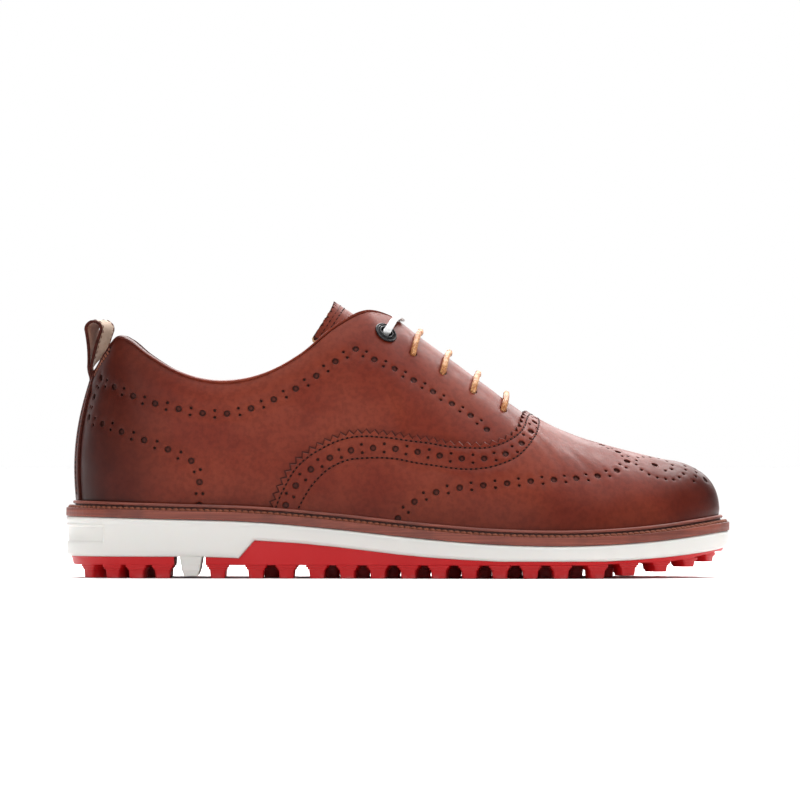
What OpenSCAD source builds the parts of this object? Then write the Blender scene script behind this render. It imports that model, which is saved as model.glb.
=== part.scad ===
// Right golf shoe, toe towards +X, outer side towards -Y, resting on its lugs at z = 0.

/* [Sole] */
// How far the welt stands out from the upper
welt_reach = 5; // [4.4:0.1:5.2]
// Height of the welt's outer edge
welt_edge_h = 3.6; // [3:0.2:4.2]
// Height of the lugs below the sole plate
lug_h = 5.9; // [5:0.1:6.4]
// Width of a lug at its tip
lug_w = 6.3; // [5.4:0.1:6.8]
// Distance from one edge lug to the next
lug_pitch = 13.6; // [13.2:0.1:13.8]

/* [Upper] */
// Thickness of the upper leather
leather_t = 1.3; // [1.1:0.05:1.3]
// Width of the slot between the two facings
facing_gap = 8; // [6:0.5:10]
// Thickness of the tongue
tongue_t = 3; // [2:0.2:3.2]
// Half width of the tongue's free end
tongue_half_w = 15.6; // [15:0.2:15.8]
// Thickness of the removable footbed
footbed_t = 4; // [3:0.5:4.5]

/* [Fastening] */
// Outer diameter of the top eyelets
eyelet_d = 10.7; // [9.5:0.1:11]
// Bore of the top eyelets
eyelet_bore = 5; // [4.4:0.1:5.2]
// Diameter of the round lace
lace_d = 2.7; // [2.2:0.1:2.8]
// Width of the strap that forms the heel pull loop
loop_w = 12; // [10:0.5:13]

/* [Hidden] */

// ---- Last: the foot shape that every layer of the upper follows ----
// Stations from the heel centre to the toe tip: foot x, lateral foot y, medial foot y, top x,
// arch (0 wall, 1 instep arch), crown slope, side bulge, fullness of the arch
STATIONS = [
  [-146.5, 3, 3, -138.5, 0, 0, 2.6, 1],
  [-139, -18, 23, -134, 0, 0, 2.8, 1],
  [-120, -29.5, 34, -121, 0, 0, 3, 1],
  [-95, -31.5, 35, -98, 0, 0, 3.2, 1],
  [-66, -32, 32, -70, 0, 0, 3.4, 1],
  [-36, -34, 28.5, -45, 0.1, -0.2, 3.4, 0.95],
  [-6, -39, 30, -20, 0.6, -0.5, 2.6, 1.08],
  [24, -45, 38.5, 5, 1, -0.7, 1.2, 1.18],
  [52, -48.7, 46, 31, 1, -0.72, 0.6, 1.14],
  [79, -47.5, 48.7, 56, 1, -0.55, 0.4, 1],
  [103, -39.5, 45.5, 79, 1, -0.34, 0.2, 0.88],
  [123.5, -27.5, 36, 100, 1, -0.27, 0, 0.78],
  [139, -11.5, 23, 114, 1, -0.25, 0, 0.71],
  [147, 6, 6, 119, 1, -0.25, 0, 0.66]
];
TOE = len(STATIONS) - 1;
RING = concat(
  [for (s = STATIONS) [s[0], s[1], s[3], s[4], s[5], s[6], s[7]]],
  [for (k = [TOE - 1:-1:1]) let (s = STATIONS[k]) [s[0], s[2], s[3], s[4], s[5], s[6], s[7]]]
);
TURN = len(RING);

// Height of the midsole's top, and of the upper's top edge and ridge, along x
SOLE_TOP = [[-150, 27.8], [-110, 26.6], [-60, 24.9], [-25, 21.8], [10, 18], [45, 15.2], [80, 14.6],
  [115, 16.8], [150, 21.9]];
TOPLINE = [[-140, 91], [-137, 93.5], [-132, 101.5], [-126, 109], [-121, 107.6], [-112, 101],
  [-98, 92.8], [-80, 88.7], [-62, 91.4], [-44, 100.8], [-27, 114.5], [-12, 121], [-3, 118.8],
  [10, 109.5], [30, 95], [50, 80.5], [64, 71], [78, 64.5], [95, 59.2], [118, 53.3], [130, 50]];
// Underside of the midsole, and the lowest reach of the lugs, along x
SOLE_UNDER = [[-150, 9.7], [-90, 9.7], [-74, 9.2], [-70, 9], [-63.2, 16.9], [-58, 17], [-44, 15.8],
  [-26, 14], [1, 10.8], [28, 8.6], [46, 7.7], [92, 7.7], [118, 9.4], [136, 11.6], [146, 14.2]];
TREAD = [[60, 0], [88, 0], [102, 1.4], [118, 3.3], [132, 5.8], [142, 8.2]];
RIDGE_Y = 3;
THROAT_X = 57;

// ---- Layers of the upper, as depth below the last surface ----
QUARTER_OUT = 1.6;
STIFFENER_OUT = 3;
STIFFENER_T = 1.2;
LINING_T = 0.8;
GAP = 0.1;
// Top edge of the vamp and front seam of the linings, as position round the last and height
VAMP_EDGE = [[4.2, 0.02], [4.4, 0.24], [4.8, 0.43], [5.2, 0.455], [5.8, 0.405], [6.5, 0.36],
  [7.2, 0.385], [7.8, 0.44], [8.4, 0.61], [8.8, 0.87], [9.1, 1]];
SEAM_EDGE = [[6, 0], [6.5, 0.1], [7, 0.38], [7.6, 0.5], [8.4, 0.6], [8.8, 0.82], [9.1, 1]];
COLLAR_END = 6.6;
FACING_END = 8.62;

function clamp(v, low, high) = min(max(v, low), high);
function wrap(i) = RING[((i % TURN) + TURN) % TURN];
function blend4(a, w) = w[0] * a[0] + w[1] * a[1] + w[2] * a[2] + w[3] * a[3];
function near(i) = [wrap(i - 1), wrap(i), wrap(i + 1), wrap(i + 2)];

// Uniform cubic B-spline round the last, and its direction
function ring_at(u) = let (i = floor(u), f = u - i, g = 1 - f)
  blend4(near(i), [g * g * g, 3 * f * f * f - 6 * f * f + 4, 3 * g * g * g - 6 * g * g + 4, f * f * f]) / 6;
function ring_dir(u) = let (i = floor(u), f = u - i, g = 1 - f)
  blend4(near(i), [-g * g, 3 * f * f - 4 * f, -3 * g * g + 4 * g, f * f]) / 2;

// Smooth curve through hand-placed points
function span(p, k) = p[k + 1][0] - p[k][0];
function rise(p, k) = (p[k + 1][1] - p[k][1]) / span(p, k);
function lean(p, k) = k == 0 ? rise(p, 0)
  : k == len(p) - 1 ? rise(p, k - 1)
  : (rise(p, k - 1) * span(p, k) + rise(p, k) * span(p, k - 1)) / (span(p, k - 1) + span(p, k));
function curve(p, at) =
  let (x = clamp(at, p[0][0], p[len(p) - 1][0]))
  let (k = max([0, for (i = [1:len(p) - 2]) x >= p[i][0] ? i : 0]))
  let (h = span(p, k), t = (x - p[k][0]) / h, t2 = t * t, t3 = t2 * t)
  (2 * t3 - 3 * t2 + 1) * p[k][1] + (t3 - 2 * t2 + t) * h * lean(p, k)
  + (3 * t2 - 2 * t3) * p[k + 1][1] + (t3 - t2) * h * lean(p, k + 1);
function ramp(v, low, high) = let (s = clamp((v - low) / (high - low), 0, 1)) s * s * (3 - 2 * s);

// Position folded onto the lateral side, 0 at the heel and TOE at the toe
function fold(u) = let (v = ((u % TURN) + TURN) % TURN) min(v, TURN - v);
function side_of(u) = ((u % TURN) + TURN) % TURN <= TOE ? -1 : 1;

// Half width of the opening at the top of the upper
function half_gap(x) = let (s = clamp(-x / 66, 0, 1), back = clamp((-82 - x) / 55, 0, 1))
  (facing_gap / 2 * pow(clamp((THROAT_X - x) / 16, 0, 1), 0.6) + 24.5 * s * (2 - s) * ramp(-x, 0, 14))
  * pow(1 - pow(back, 2.5), 0.4);

// Outward direction in plan
function outward(u) = let (d = ring_dir(u), n = norm([d[0], d[1]])) [d[1] / n, -d[0] / n];

// Point of the last at u round it, t up from the sole (0) to the top (1), d below the surface
function last(u, t, d) =
  let (v = ring_at(u), n = outward(u), arch = v[3], deep = d * (1 - arch))
  let (fx = v[0] - n[0] * d, fy = v[1] - n[1] * d, fz = curve(SOLE_TOP, v[0]) + 0.2)
  let (cx = v[2] - n[0] * deep, cy = RIDGE_Y + side_of(u) * half_gap(v[2]) - n[1] * deep)
  let (cz = curve(TOPLINE, v[2]) - d * arch, climb = v[4] * arch * (cx - fx), c = max(cos(90 * t), 0))
  let (a = (1 - arch) * t + arch * pow(sin(90 * t), v[6]))
  let (b = (1 - arch) * t * t + arch * (1 - pow(c, v[6])), w = v[5] * sin(180 * t))
  [fx + (cx - fx) * b + n[0] * w, fy + (cy - fy) * b + n[1] * w, fz + (cz - fz - climb) * a + climb * b];

// Outward normal of the last
function normal(u, t, d) = let (e = 0.01)
  let (n = cross(last(u + e, t, d) - last(u - e, t, d), last(u, t + e, d) - last(u, t - e, d)))
  n / norm(n);

// t at a height h above the sole
function t_at(u, h, low = 0, high = 0.6, steps = 16) = let (m = (low + high) / 2)
  steps == 0 ? m
  : last(u, m, 0)[2] - last(u, 0, 0)[2] < h ? t_at(u, h, m, high, steps - 1) : t_at(u, h, low, m, steps - 1);

// Depth of the lining: it runs behind the heel counter and the collar's padding
function pad_depth(u, t) = t < 0.7 ? 0
  : 2.4 * (1 - ramp(fold(u), 4.2, 5.9)) * pow(sin(180 * clamp((t - 0.7) / 0.3, 0, 1)), 1.5);
function lining_depth(u, t) = 3.8 + 0.7 * (1 - ramp(fold(u), 3.5, 4.6)) + pad_depth(u, t);
function top_of_quarter(u) = fold(u) < COLLAR_END ? 0.98 : 1;

// Plan outline of the last, moved out by r
function outline(u, r, z) = let (v = ring_at(u), n = outward(u)) [v[0] + n[0] * r, v[1] + n[1] * r, z];

// ---- Meshes ----
function tri(a, b, c) = a == b || b == c || a == c ? [] : [[a, b, c]];
function quad(a, b, c, d) = concat(tri(a, b, c), tri(a, c, d));
function flat1(list) = [for (part = list) for (item = part) item];

// Solid between two grids of points [column][row]; columns from zip on share the top row's
// points with the column mirrored about the middle, where the two sides meet on the ridge
module grid_solid(top, under, zip = -1) {
  n = len(top);
  m = len(top[0]);
  function id(i, j, s) = let (mirrored = zip >= 0 && j == m - 1 && i > (n - 1) / 2 && n - 1 - i >= zip)
    ((mirrored ? n - 1 - i : i) * m + j) * 2 + s;
  points = flat1([for (i = [0:n - 1]) for (j = [0:m - 1]) [top[i][j], under[i][j]]]);
  sheets = [for (i = [0:n - 2]) for (j = [0:m - 2]) concat(
    quad(id(i, j, 0), id(i, j + 1, 0), id(i + 1, j + 1, 0), id(i + 1, j, 0)),
    quad(id(i, j, 1), id(i + 1, j, 1), id(i + 1, j + 1, 1), id(i, j + 1, 1)))];
  feet = [for (i = [0:n - 2]) quad(id(i, 0, 0), id(i + 1, 0, 0), id(i + 1, 0, 1), id(i, 0, 1))];
  crest = [for (i = [0:n - 2]) if (zip < 0 || i < zip || i + 1 > n - 1 - zip)
    quad(id(i, m - 1, 1), id(i + 1, m - 1, 1), id(i + 1, m - 1, 0), id(i, m - 1, 0))];
  ends = [for (j = [0:m - 2]) concat(
    quad(id(0, j, 0), id(0, j, 1), id(0, j + 1, 1), id(0, j + 1, 0)),
    quad(id(n - 1, j, 0), id(n - 1, j + 1, 0), id(n - 1, j + 1, 1), id(n - 1, j, 1)))];
  polyhedron(points, flat1(concat(sheets, feet, crest, ends)));
}

// Solid swept round from closed sections; closed joins the last section to the first
module sweep_solid(sections, closed = false) {
  n = len(sections);
  m = len(sections[0]);
  function id(i, j) = (i % n) * m + (j % m);
  walls = [for (i = [0:n - (closed ? 1 : 2)]) for (j = [0:m - 1])
    quad(id(i, j), id(i, j + 1), id(i + 1, j + 1), id(i + 1, j))];
  caps = closed ? [] : [for (j = [1:m - 2]) concat(
    tri(id(0, 0), id(0, j + 1), id(0, j)), tri(id(n - 1, 0), id(n - 1, j), id(n - 1, j + 1)))];
  polyhedron(flat1(sections), flat1(concat(walls, caps)));
}

// Sole slab: rings of points from the bottom up, each a list over us of lateral and medial points
module slab(us, reaches, heights) {
  n = len(us);
  rings = len(reaches);
  function point(u, r) = let (p = outline(u, reaches[r], 0)) [p[0], p[1], heights[r](p[0])];
  points = flat1([for (r = [0:rings - 1]) concat(
    [for (u = us) point(u, r)], [for (u = us) point(-u, r)])]);
  function apex(i) = us[i] == 0 || us[i] == TOE;
  function l(r, i) = r * 2 * n + i;
  function m(r, i) = apex(i) ? l(r, i) : r * 2 * n + n + i;
  top = rings - 1;
  caps = [for (i = [0:n - 2]) concat(
    quad(l(0, i), l(0, i + 1), m(0, i + 1), m(0, i)),
    quad(l(top, i), m(top, i), m(top, i + 1), l(top, i + 1)))];
  sides = [for (r = [0:rings - 2]) for (i = [0:n - 2]) concat(
    quad(l(r, i), l(r + 1, i), l(r + 1, i + 1), l(r, i + 1)),
    quad(m(r, i), m(r, i + 1), m(r + 1, i + 1), m(r + 1, i)))];
  ends = [for (r = [0:rings - 2]) concat(
    quad(l(r, 0), m(r, 0), m(r + 1, 0), l(r + 1, 0)),
    quad(l(r, n - 1), l(r + 1, n - 1), m(r + 1, n - 1), m(r, n - 1)))];
  polyhedron(points, flat1(concat(caps, sides, ends)));
}

// Layer of the upper over columns us, between two heights and two depths
module layer(us, low, high, rows, outer, inner, zip = -1) {
  heights = [for (u = us) [for (j = [0:rows]) low(u) + (high(u) - low(u)) * j / rows]];
  cols = [0:len(us) - 1];
  grid_solid(
    [for (i = cols) [for (t = heights[i]) last(us[i], t, outer(us[i], t))]],
    [for (i = cols) [for (t = heights[i]) last(us[i], t, inner(us[i], t))]],
    zip);
}

// Columns from a on the lateral side round the toe to a on the medial side
THROAT_U = 9.1;
function toe_columns(a, before, after) = let (
  half = concat([for (k = [0:before - 1]) a + (THROAT_U - a) * k / before],
    [for (k = [0:after - 1]) THROAT_U + (TOE - THROAT_U) * k / after]))
  concat(half, [TOE], [for (k = [len(half) - 1:-1:0]) TURN - half[k]]);
function even(a, b, n) = [for (k = [0:n]) a + (b - a) * k / n];

// Places children on the last with +Z along the outward normal
module on_last(u, t, d) {
  n = normal(u, t, d);
  turn = atan2(n[1], n[0]);
  translate(last(u, t, d)) rotate([0, acos(n[2]), turn]) children();
}

// ---- Fastening holes ----
HOLES = 4;
EYELET_U = 6.42;
EYELET_T = 0.815;
function hole_u(k) = 6.81 + 0.505 * k;
HOLE_T = 0.725;
lace_hole_r = lace_d / 2 + 0.3;
barrel_r = eyelet_bore / 2 + 0.5;

module fastening_holes(flip) {
  at = flip ? -1 : 1;
  on_last(at * EYELET_U, EYELET_T, QUARTER_OUT)
    translate([0, 0, -9]) cylinder(h = 12, r = barrel_r + 0.15, $fn = 12);
  for (k = [0:HOLES - 1]) on_last(at * hole_u(k), HOLE_T, QUARTER_OUT)
    translate([0, 0, -9]) cylinder(h = 12, r = lace_hole_r, $fn = 8);
}

// ---- Sole ----
function sole_top(up) = function(x) curve(SOLE_TOP, x) + up;
function sole_under(up) = function(x) curve(SOLE_UNDER, x) + up;
function tread(x) = max(curve(TREAD, x), 0);
function lug_height(x) = lug_h - 2.4 * ramp(x, 90, 130);
function plate_bottom() = function(x) tread(x) + lug_height(x);
SOLE_REACH = 2.6;
FULL = concat(even(0, 1, 4), even(1.25, 11.75, 42), even(12, TOE, 5));

// Lug with a stepped base, its length across the sole edge
module lug(x, y, turn, length) {
  high = lug_height(x);
  base_h = high * 0.28;
  translate([x, y, tread(x)]) rotate([0, 0, turn]) {
    translate([-lug_w / 2, -length / 2, 0]) cube([lug_w, length, high + 0.8]);
    translate([-lug_w * 0.75, -length / 2 - 0.6, high - base_h])
      cube([lug_w * 1.5, length + 1.2, base_h + 0.7]);
  }
}

// Position round the last where the sole's edge reaches x
function u_at(x, low = 0, high = TOE, steps = 18) = let (m = (low + high) / 2)
  steps == 0 ? m : ring_at(m)[0] < x ? u_at(x, m, high, steps - 1) : u_at(x, low, m, steps - 1);

// Edge lugs at x on both sides
module edge_lugs(x, inset = 3.6, length = 9) {
  for (s = [1, -1]) {
    u = s * u_at(x);
    p = outline(u, -inset, 0);
    d = ring_dir(u);
    lug(p[0], p[1], atan2(d[1], d[0]), length);
  }
}

// Row of shorter lugs between the edge lugs at x
module inner_lugs(x, count, length = 8) {
  low = outline(u_at(x), -14, 0)[1];
  high = outline(-u_at(x), -14, 0)[1];
  for (k = [0:count - 1]) lug(x, low + (high - low) * (k + 0.5) / count, 0, length);
}

HEEL_FRONT_U = u_at(-99.7);
BLOCK_REAR_U = u_at(-85.7);

module outsole_heel() {
  color("#c9353c") union() {
    slab(concat([for (u = FULL) if (u < HEEL_FRONT_U - 0.1) u], [HEEL_FRONT_U]), [1.8, SOLE_REACH],
      [plate_bottom(), sole_under(-GAP)]);
    for (x = [-137.9, -127.3, -116.8, -105]) edge_lugs(x);
    for (x = [-132, -121, -110]) inner_lugs(x, 2);
  }
}

module outsole_forefoot() {
  first = -63.2;
  color("#c9353c") union() {
    slab(concat([BLOCK_REAR_U], [for (u = FULL) if (u > BLOCK_REAR_U + 0.1) u]), [2, SOLE_REACH],
      [plate_bottom(), sole_under(-GAP)]);
    edge_lugs(-80.3);
    for (k = [0:12]) edge_lugs(first + lug_pitch * k);
    edge_lugs(114.5);
    edge_lugs(127, 3.6, 8);
    edge_lugs(138, 3.2, 6);
    for (k = [0:2:10]) inner_lugs(first + lug_pitch * (k + 0.5), 2);
    for (k = [3:2:11]) inner_lugs(first + lug_pitch * (k + 0.5), 3);
  }
}

module midsole() {
  color("#e6e4e0") union() {
    slab(FULL, [SOLE_REACH, 4.4, 4.7, 3.9, 3.9, 4.8, 4.8],
      [sole_under(0), sole_under(1.6), function(x) curve(SOLE_UNDER, x) * 0.7 + curve(SOLE_TOP, x) * 0.3,
        function(x) curve(SOLE_UNDER, x) * 0.6 + curve(SOLE_TOP, x) * 0.4,
        function(x) curve(SOLE_UNDER, x) * 0.25 + curve(SOLE_TOP, x) * 0.75, sole_top(-2.6), sole_top(0)]);
    for (s = [1, -1]) {
      p = outline(s * u_at(-92.4), -2.8, 0);
      translate([p[0] - 3.95, p[1] - 5.5, 0.9]) cube([7.9, 11, 10]);
      translate([p[0] - 4.95, p[1] - 6, 6]) cube([9.9, 12, 5]);
    }
  }
}

// Welt section: flat underside, upright outer edge, slope for the stitching, lip against the upper
module welt() {
  columns = even(0, TURN * (1 - 1 / 104), 103);
  function on_sole(p, h) = [p[0], p[1], curve(SOLE_TOP, p[0]) + GAP + h];
  function beside(u, h) = let (p = last(u, t_at(u, h), 0), n = outward(u))
    on_sole([p[0] + n[0] * 0.2, p[1] + n[1] * 0.2], h);
  color("#8a4a3c") sweep_solid([for (u = columns) [
    on_sole(outline(u, welt_reach, 0), 0), on_sole(outline(u, welt_reach, 0), welt_edge_h),
    on_sole(outline(u, 2, 0), 5.4), on_sole(outline(u, 1.7, 0), 6.9),
    beside(u, 6.9), beside(u, 3.4), beside(u, 0)]], true);
}

module welt_stitches() {
  count = 132;
  slope = 29;
  color("#5a2f28") for (k = [0:count - 1]) {
    u = TURN * k / count;
    d = ring_dir(u);
    p = outline(u, 3.5, 0);
    translate([p[0], p[1], curve(SOLE_TOP, p[0]) + welt_edge_h + 1.2])
      rotate([0, 0, atan2(d[1], d[0])]) rotate([slope, 0, 0])
      translate([-1.6, -0.45, 0]) cube([3.2, 0.9, 0.6]);
  }
}

// ---- Bottom, inside the upper ----
INNER_US = concat(even(0, 1, 3), even(1.4, 11.6, 22), even(12, TOE, 4));
SHANK_X = [-95, 8];
SHANK_HALF_W = 6;

module bottom_filler() {
  margin = 0.4;
  color("#b08a5a") difference() {
    slab(INNER_US, [-5.6, -5.6], [sole_top(GAP), sole_top(2.5)]);
    translate([SHANK_X[0] - margin, RIDGE_Y - SHANK_HALF_W - margin, 0])
      cube([SHANK_X[1] - SHANK_X[0] + 2 * margin, 2 * (SHANK_HALF_W + margin), 60]);
  }
}

module shank() {
  xs = even(SHANK_X[0], SHANK_X[1], 14);
  function row(z) = [for (x = xs) [for (y = [-SHANK_HALF_W, SHANK_HALF_W])
    [x, RIDGE_Y + y, curve(SOLE_TOP, x) + z]]];
  color("#9aa0a6") grid_solid(row(2.1), row(0.7));
}

module insole_board() {
  color("#c8a878") slab(INNER_US, [-5.6, -5.6], [sole_top(2.6), sole_top(4.9)]);
}

module footbed() {
  color("#3a3634") slab(INNER_US, [-7.2, -7, -8.2],
    [sole_top(5.35), sole_top(5.35 + footbed_t * 0.6), sole_top(5.35 + footbed_t)]);
}

// ---- Upper ----
VAMP_US = toe_columns(4.2, 18, 13);

module vamp() {
  high = function(u) fold(u) >= THROAT_U ? 1 : curve(VAMP_EDGE, fold(u));
  color("#93503f") layer(VAMP_US, function(u) 0, high, 12,
    function(u, t) 0, function(u, t) leather_t, 18);
}

// The quarters run on under the vamp's edge
module quarter(flip) {
  s = flip ? -1 : 1;
  us = concat(even(0.03, 6.55, 22), even(6.65, FACING_END, 8));
  overlap = 0.16;
  function low(u) = u < 4.3 ? 0 : max(curve(VAMP_EDGE, u) - overlap, 0);
  ordered = flip ? [for (k = [len(us) - 1:-1:0]) -us[k]] : us;
  difference() {
    layer(ordered, function(u) low(fold(u)), function(u) top_of_quarter(u), 10,
      function(u, t) QUARTER_OUT, function(u, t) QUARTER_OUT + leather_t - 0.1);
    fastening_holes(flip);
  }
}

module quarter_lateral() {
  color("#9a5443") quarter(false);
}

module quarter_medial() {
  color("#9a5443") quarter(true);
}

module backstay() {
  color("#7d4034") layer(even(-0.42, 0.42, 6), function(u) 0.1, function(u) 0.98, 12,
    function(u, t) 0, function(u, t) QUARTER_OUT - GAP);
}

module heel_counter() {
  high = function(u) 0.66 - 0.3 * ramp(fold(u), 1.6, 3.4);
  color("#cdb89a") layer(even(-3.4, 3.4, 24), function(u) 0.005, high, 6,
    function(u, t) STIFFENER_OUT, function(u, t) STIFFENER_OUT + STIFFENER_T);
}

module toe_puff() {
  color("#cdb89a") layer(concat(even(10.4, TOE, 9), [for (u = even(12.7, 10.4, 8)) TURN - u]),
    function(u) 0.005, function(u) 1, 7, function(u, t) leather_t + GAP, function(u, t) 3.3, 0);
}

module vamp_lining() {
  high = function(u) fold(u) >= THROAT_U ? 1 : curve(SEAM_EDGE, fold(u)) - 0.005;
  color("#d9c2a0") layer(toe_columns(6.2, 10, 10), function(u) 0, high, 7,
    function(u, t) lining_depth(u, t), function(u, t) lining_depth(u, t) + LINING_T, 10);
}

module quarter_lining() {
  low = function(u) fold(u) <= 6.15 ? 0 : curve(SEAM_EDGE, fold(u)) + 0.02;
  half = concat(even(0, 6.1, 18), even(6.4, 8.7, 8));
  us = concat([for (k = [len(half) - 1:-1:1]) -half[k]], half);
  color("#c9a074") difference() {
    layer(us, low, function(u) top_of_quarter(u), 10,
      function(u, t) lining_depth(u, t), function(u, t) lining_depth(u, t) + LINING_T);
    fastening_holes(false);
    fastening_holes(true);
  }
}

module collar_padding() {
  color("#d8c7a4") layer(even(-5.8, 5.8, 30), function(u) 0.72, function(u) 0.96, 4,
    function(u, t) STIFFENER_OUT, function(u, t) lining_depth(u, t) - 0.5);
}

// Rolled binding over the collar's edge
module collar_binding() {
  end = COLLAR_END - 0.1;
  function edge(u) = last(u, 0.98, 0)[2] - last(u, 1, 0)[2];
  function at(u, d, h) = let (p = last(u, 1, d)) [p[0], p[1], p[2] + edge(u) + h];
  color("#6e3a2e") sweep_solid([for (u = even(-end, end, 52)) [
    at(u, QUARTER_OUT, 0.4), at(u, QUARTER_OUT, 1.2), at(u, QUARTER_OUT + 1, 1.9),
    at(u, 4.6, 1.9), at(u, 5.5, 1.2), at(u, 5.5, 0.4)]]);
}

module facing_backings() {
  color("#4a3a34") for (flip = [false, true]) difference() {
    layer(flip ? even(-8.6, -6.8, 6) : even(6.8, 8.6, 6),
      function(u) 0.66, function(u) 0.98, 4,
      function(u, t) STIFFENER_OUT + GAP, function(u, t) STIFFENER_OUT + 0.5);
    fastening_holes(flip);
  }
}

// ---- Tongue: an arched strip from its root under the vamp to a free end above the collar ----
TONGUE_LINE = [[-28.6, 124.2], [-22, 119.8], [-12, 112.8], [0, 104.4], [20, 90.2], [40, 76.2],
  [54, 66.8], [64, 62.4]];
TONGUE_ROOT = 64;
TONGUE_TIP = -28.6;
TONGUE_Y = 2.5;
TONGUE_ROOT_HALF_W = 15;
TONGUE_ROOT_R = 34;
TONGUE_TIP_R = 17.2;

function tongue_point(x, w, depth) =
  let (s = (TONGUE_ROOT - x) / (TONGUE_ROOT - TONGUE_TIP))
  let (half = TONGUE_ROOT_HALF_W + (tongue_half_w - TONGUE_ROOT_HALF_W) * s)
  let (slope = curve(TONGUE_LINE, x + 0.5) - curve(TONGUE_LINE, x - 0.5))
  let (n = [-slope, 1] / norm([slope, 1]), radius = TONGUE_ROOT_R + (TONGUE_TIP_R - TONGUE_ROOT_R) * s)
  let (across = w * half, drop = radius - sqrt(radius * radius - across * across) + depth)
  [x - n[0] * drop, TONGUE_Y + across, curve(TONGUE_LINE, x) - n[1] * drop];
module tongue_sheet(from, to) {
  xs = even(TONGUE_TIP, TONGUE_ROOT, 20);
  function sheet(depth) = [for (x = xs) [for (w = even(-1, 1, 10)) tongue_point(x, w, depth)]];
  grid_solid(sheet(from), sheet(to));
}

module tongue() {
  color("#8a4838") tongue_sheet(0, tongue_t);
}

module tongue_lining() {
  color("#c9a074") tongue_sheet(tongue_t + 0.05, tongue_t + 0.8);
}

// ---- Pull loop: a strap folded into a teardrop over the notch at the heel ----
LOOP_FOOT = [-138.6, 94.2];
LOOP_TOP = [-136.9, 111.6];
LOOP_R = 4.1;
LOOP_STRAP_T = 1.3;
LOOP_FOOT_R = 0.9;

function teardrop(r) = let (away = LOOP_TOP - LOOP_FOOT, a = atan2(away[1], away[0]))
  let (half = acos((r - LOOP_FOOT_R) / norm(away)), from = a - 180 + half, sweep = 360 - 2 * half)
  concat([LOOP_FOOT + LOOP_FOOT_R * [cos(a - 90), sin(a - 90)]],
    [for (k = [0:16]) let (b = from + sweep * k / 16) LOOP_TOP + r * [cos(b), sin(b)]],
    [LOOP_FOOT + LOOP_FOOT_R * [cos(a + 90), sin(a + 90)]]);

module pull_loop() {
  color("#8a5a40") translate([0, RIDGE_Y + loop_w / 2, 0]) rotate([90, 0, 0])
    linear_extrude(loop_w) difference() {
      polygon(teardrop(LOOP_R));
      polygon(teardrop(LOOP_R - LOOP_STRAP_T));
    }
}

// ---- Eyelets ----
module eyelet(at) {
  flange_t = 1;
  barrel_l = 4.3;
  on_last(at * EYELET_U, EYELET_T, QUARTER_OUT) rotate_extrude($fn = 64) polygon([
    [eyelet_bore / 2, -barrel_l], [barrel_r, -barrel_l], [barrel_r, 0.5], [eyelet_d / 2 - 0.4, 0.5],
    [eyelet_d / 2, 0.8], [eyelet_d / 2 - 0.5, 0.7 + flange_t], [eyelet_bore / 2 + 0.5, 0.7 + flange_t],
    [eyelet_bore / 2, 0.5 + flange_t]]);
}

module eyelets() {
  color("#1d1d1f") for (at = [1, -1]) eyelet(at);
}

module eyelet_washers() {
  color("#8d8f92") for (at = [1, -1]) on_last(at * EYELET_U, EYELET_T, QUARTER_OUT)
    translate([0, 0, -4.25]) rotate_extrude($fn = 48) polygon([
      [barrel_r + 0.06, 0], [barrel_r + 1.2, 0], [barrel_r + 1.2, 0.4], [barrel_r + 0.06, 0.6]]);
}

// ---- Laces ----
// Point above the last at u, t, standing off by h along the normal
function off(u, t, h) = last(u, t, QUARTER_OUT) + h * normal(u, t, QUARTER_OUT);
LACE_OUT = lace_d / 2 + 0.35;
LACE_IN = -4.8;
// The laces climb forward as they cross the facing, square to its edge
LEAN = 0.4;

// One straight bar across the slot: up through one side's hole and down through the other's
function crossing(u, s, f) =
  let (a = off(s * (u + LEAN), 0.985, LACE_OUT), b = off(-s * (u + LEAN), 0.985, LACE_OUT))
  a + (b - a) * f + [0, 0, 0.8 * sin(180 * f)];
function bar(k, s) = let (u = hole_u(k), h = LACE_OUT)
  [off(s * u, HOLE_T, LACE_IN + 0.9), off(s * u, HOLE_T, -2), off(s * u, HOLE_T, 0.2),
    off(s * (u + LEAN * 0.12), HOLE_T + 0.035, h), off(s * (u + LEAN * 0.4), 0.83, h + 0.2),
    off(s * (u + LEAN * 0.75), 0.92, h + 0.1),
    crossing(u, s, 0), crossing(u, s, 0.33), crossing(u, s, 0.67), crossing(u, s, 1),
    off(-s * (u + LEAN * 0.75), 0.92, h + 0.1), off(-s * (u + LEAN * 0.4), 0.83, h + 0.2),
    off(-s * (u + LEAN * 0.12), HOLE_T + 0.035, h),
    off(-s * u, HOLE_T, 0.2), off(-s * u, HOLE_T, -2), off(-s * u, HOLE_T, LACE_IN + 0.9)];
// Run behind the facing from the hole of one bar to the hole of the next
function behind(k, s) = let (a = hole_u(k), b = hole_u(k + 1))
  [for (f = [0.2, 0.5, 0.8]) off(s * (a + f * (b - a)), HOLE_T, LACE_IN)];

lace_route = concat(
  bar(0, 1), behind(0, -1), bar(1, -1), behind(1, 1), bar(2, 1), behind(2, -1), bar(3, -1));

// Round tube along points, each ring square to the route
module tube(route, r, sides) {
  last_i = len(route) - 1;
  function dir(i) = let (v = route[min(i + 1, last_i)] - route[max(i - 1, 0)]) v / norm(v);
  function squared(a, d) = let (p = a - (a * d) * d, q = p / norm(p)) [q, cross(d, q)];
  frames = [for (i = 0, f = squared([1, 0, 0], dir(0)); i <= last_i;
    i = i + 1, f = squared(f[0], dir(min(i, last_i)))) f];
  sweep_solid([for (i = [0:last_i]) [for (k = [0:sides - 1])
    route[i] + r * (cos(360 * k / sides) * frames[i][0] - sin(360 * k / sides) * frames[i][1])]]);
}

module lace() {
  color("#c88c50") tube(lace_route, lace_d / 2, 8);
}

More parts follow.
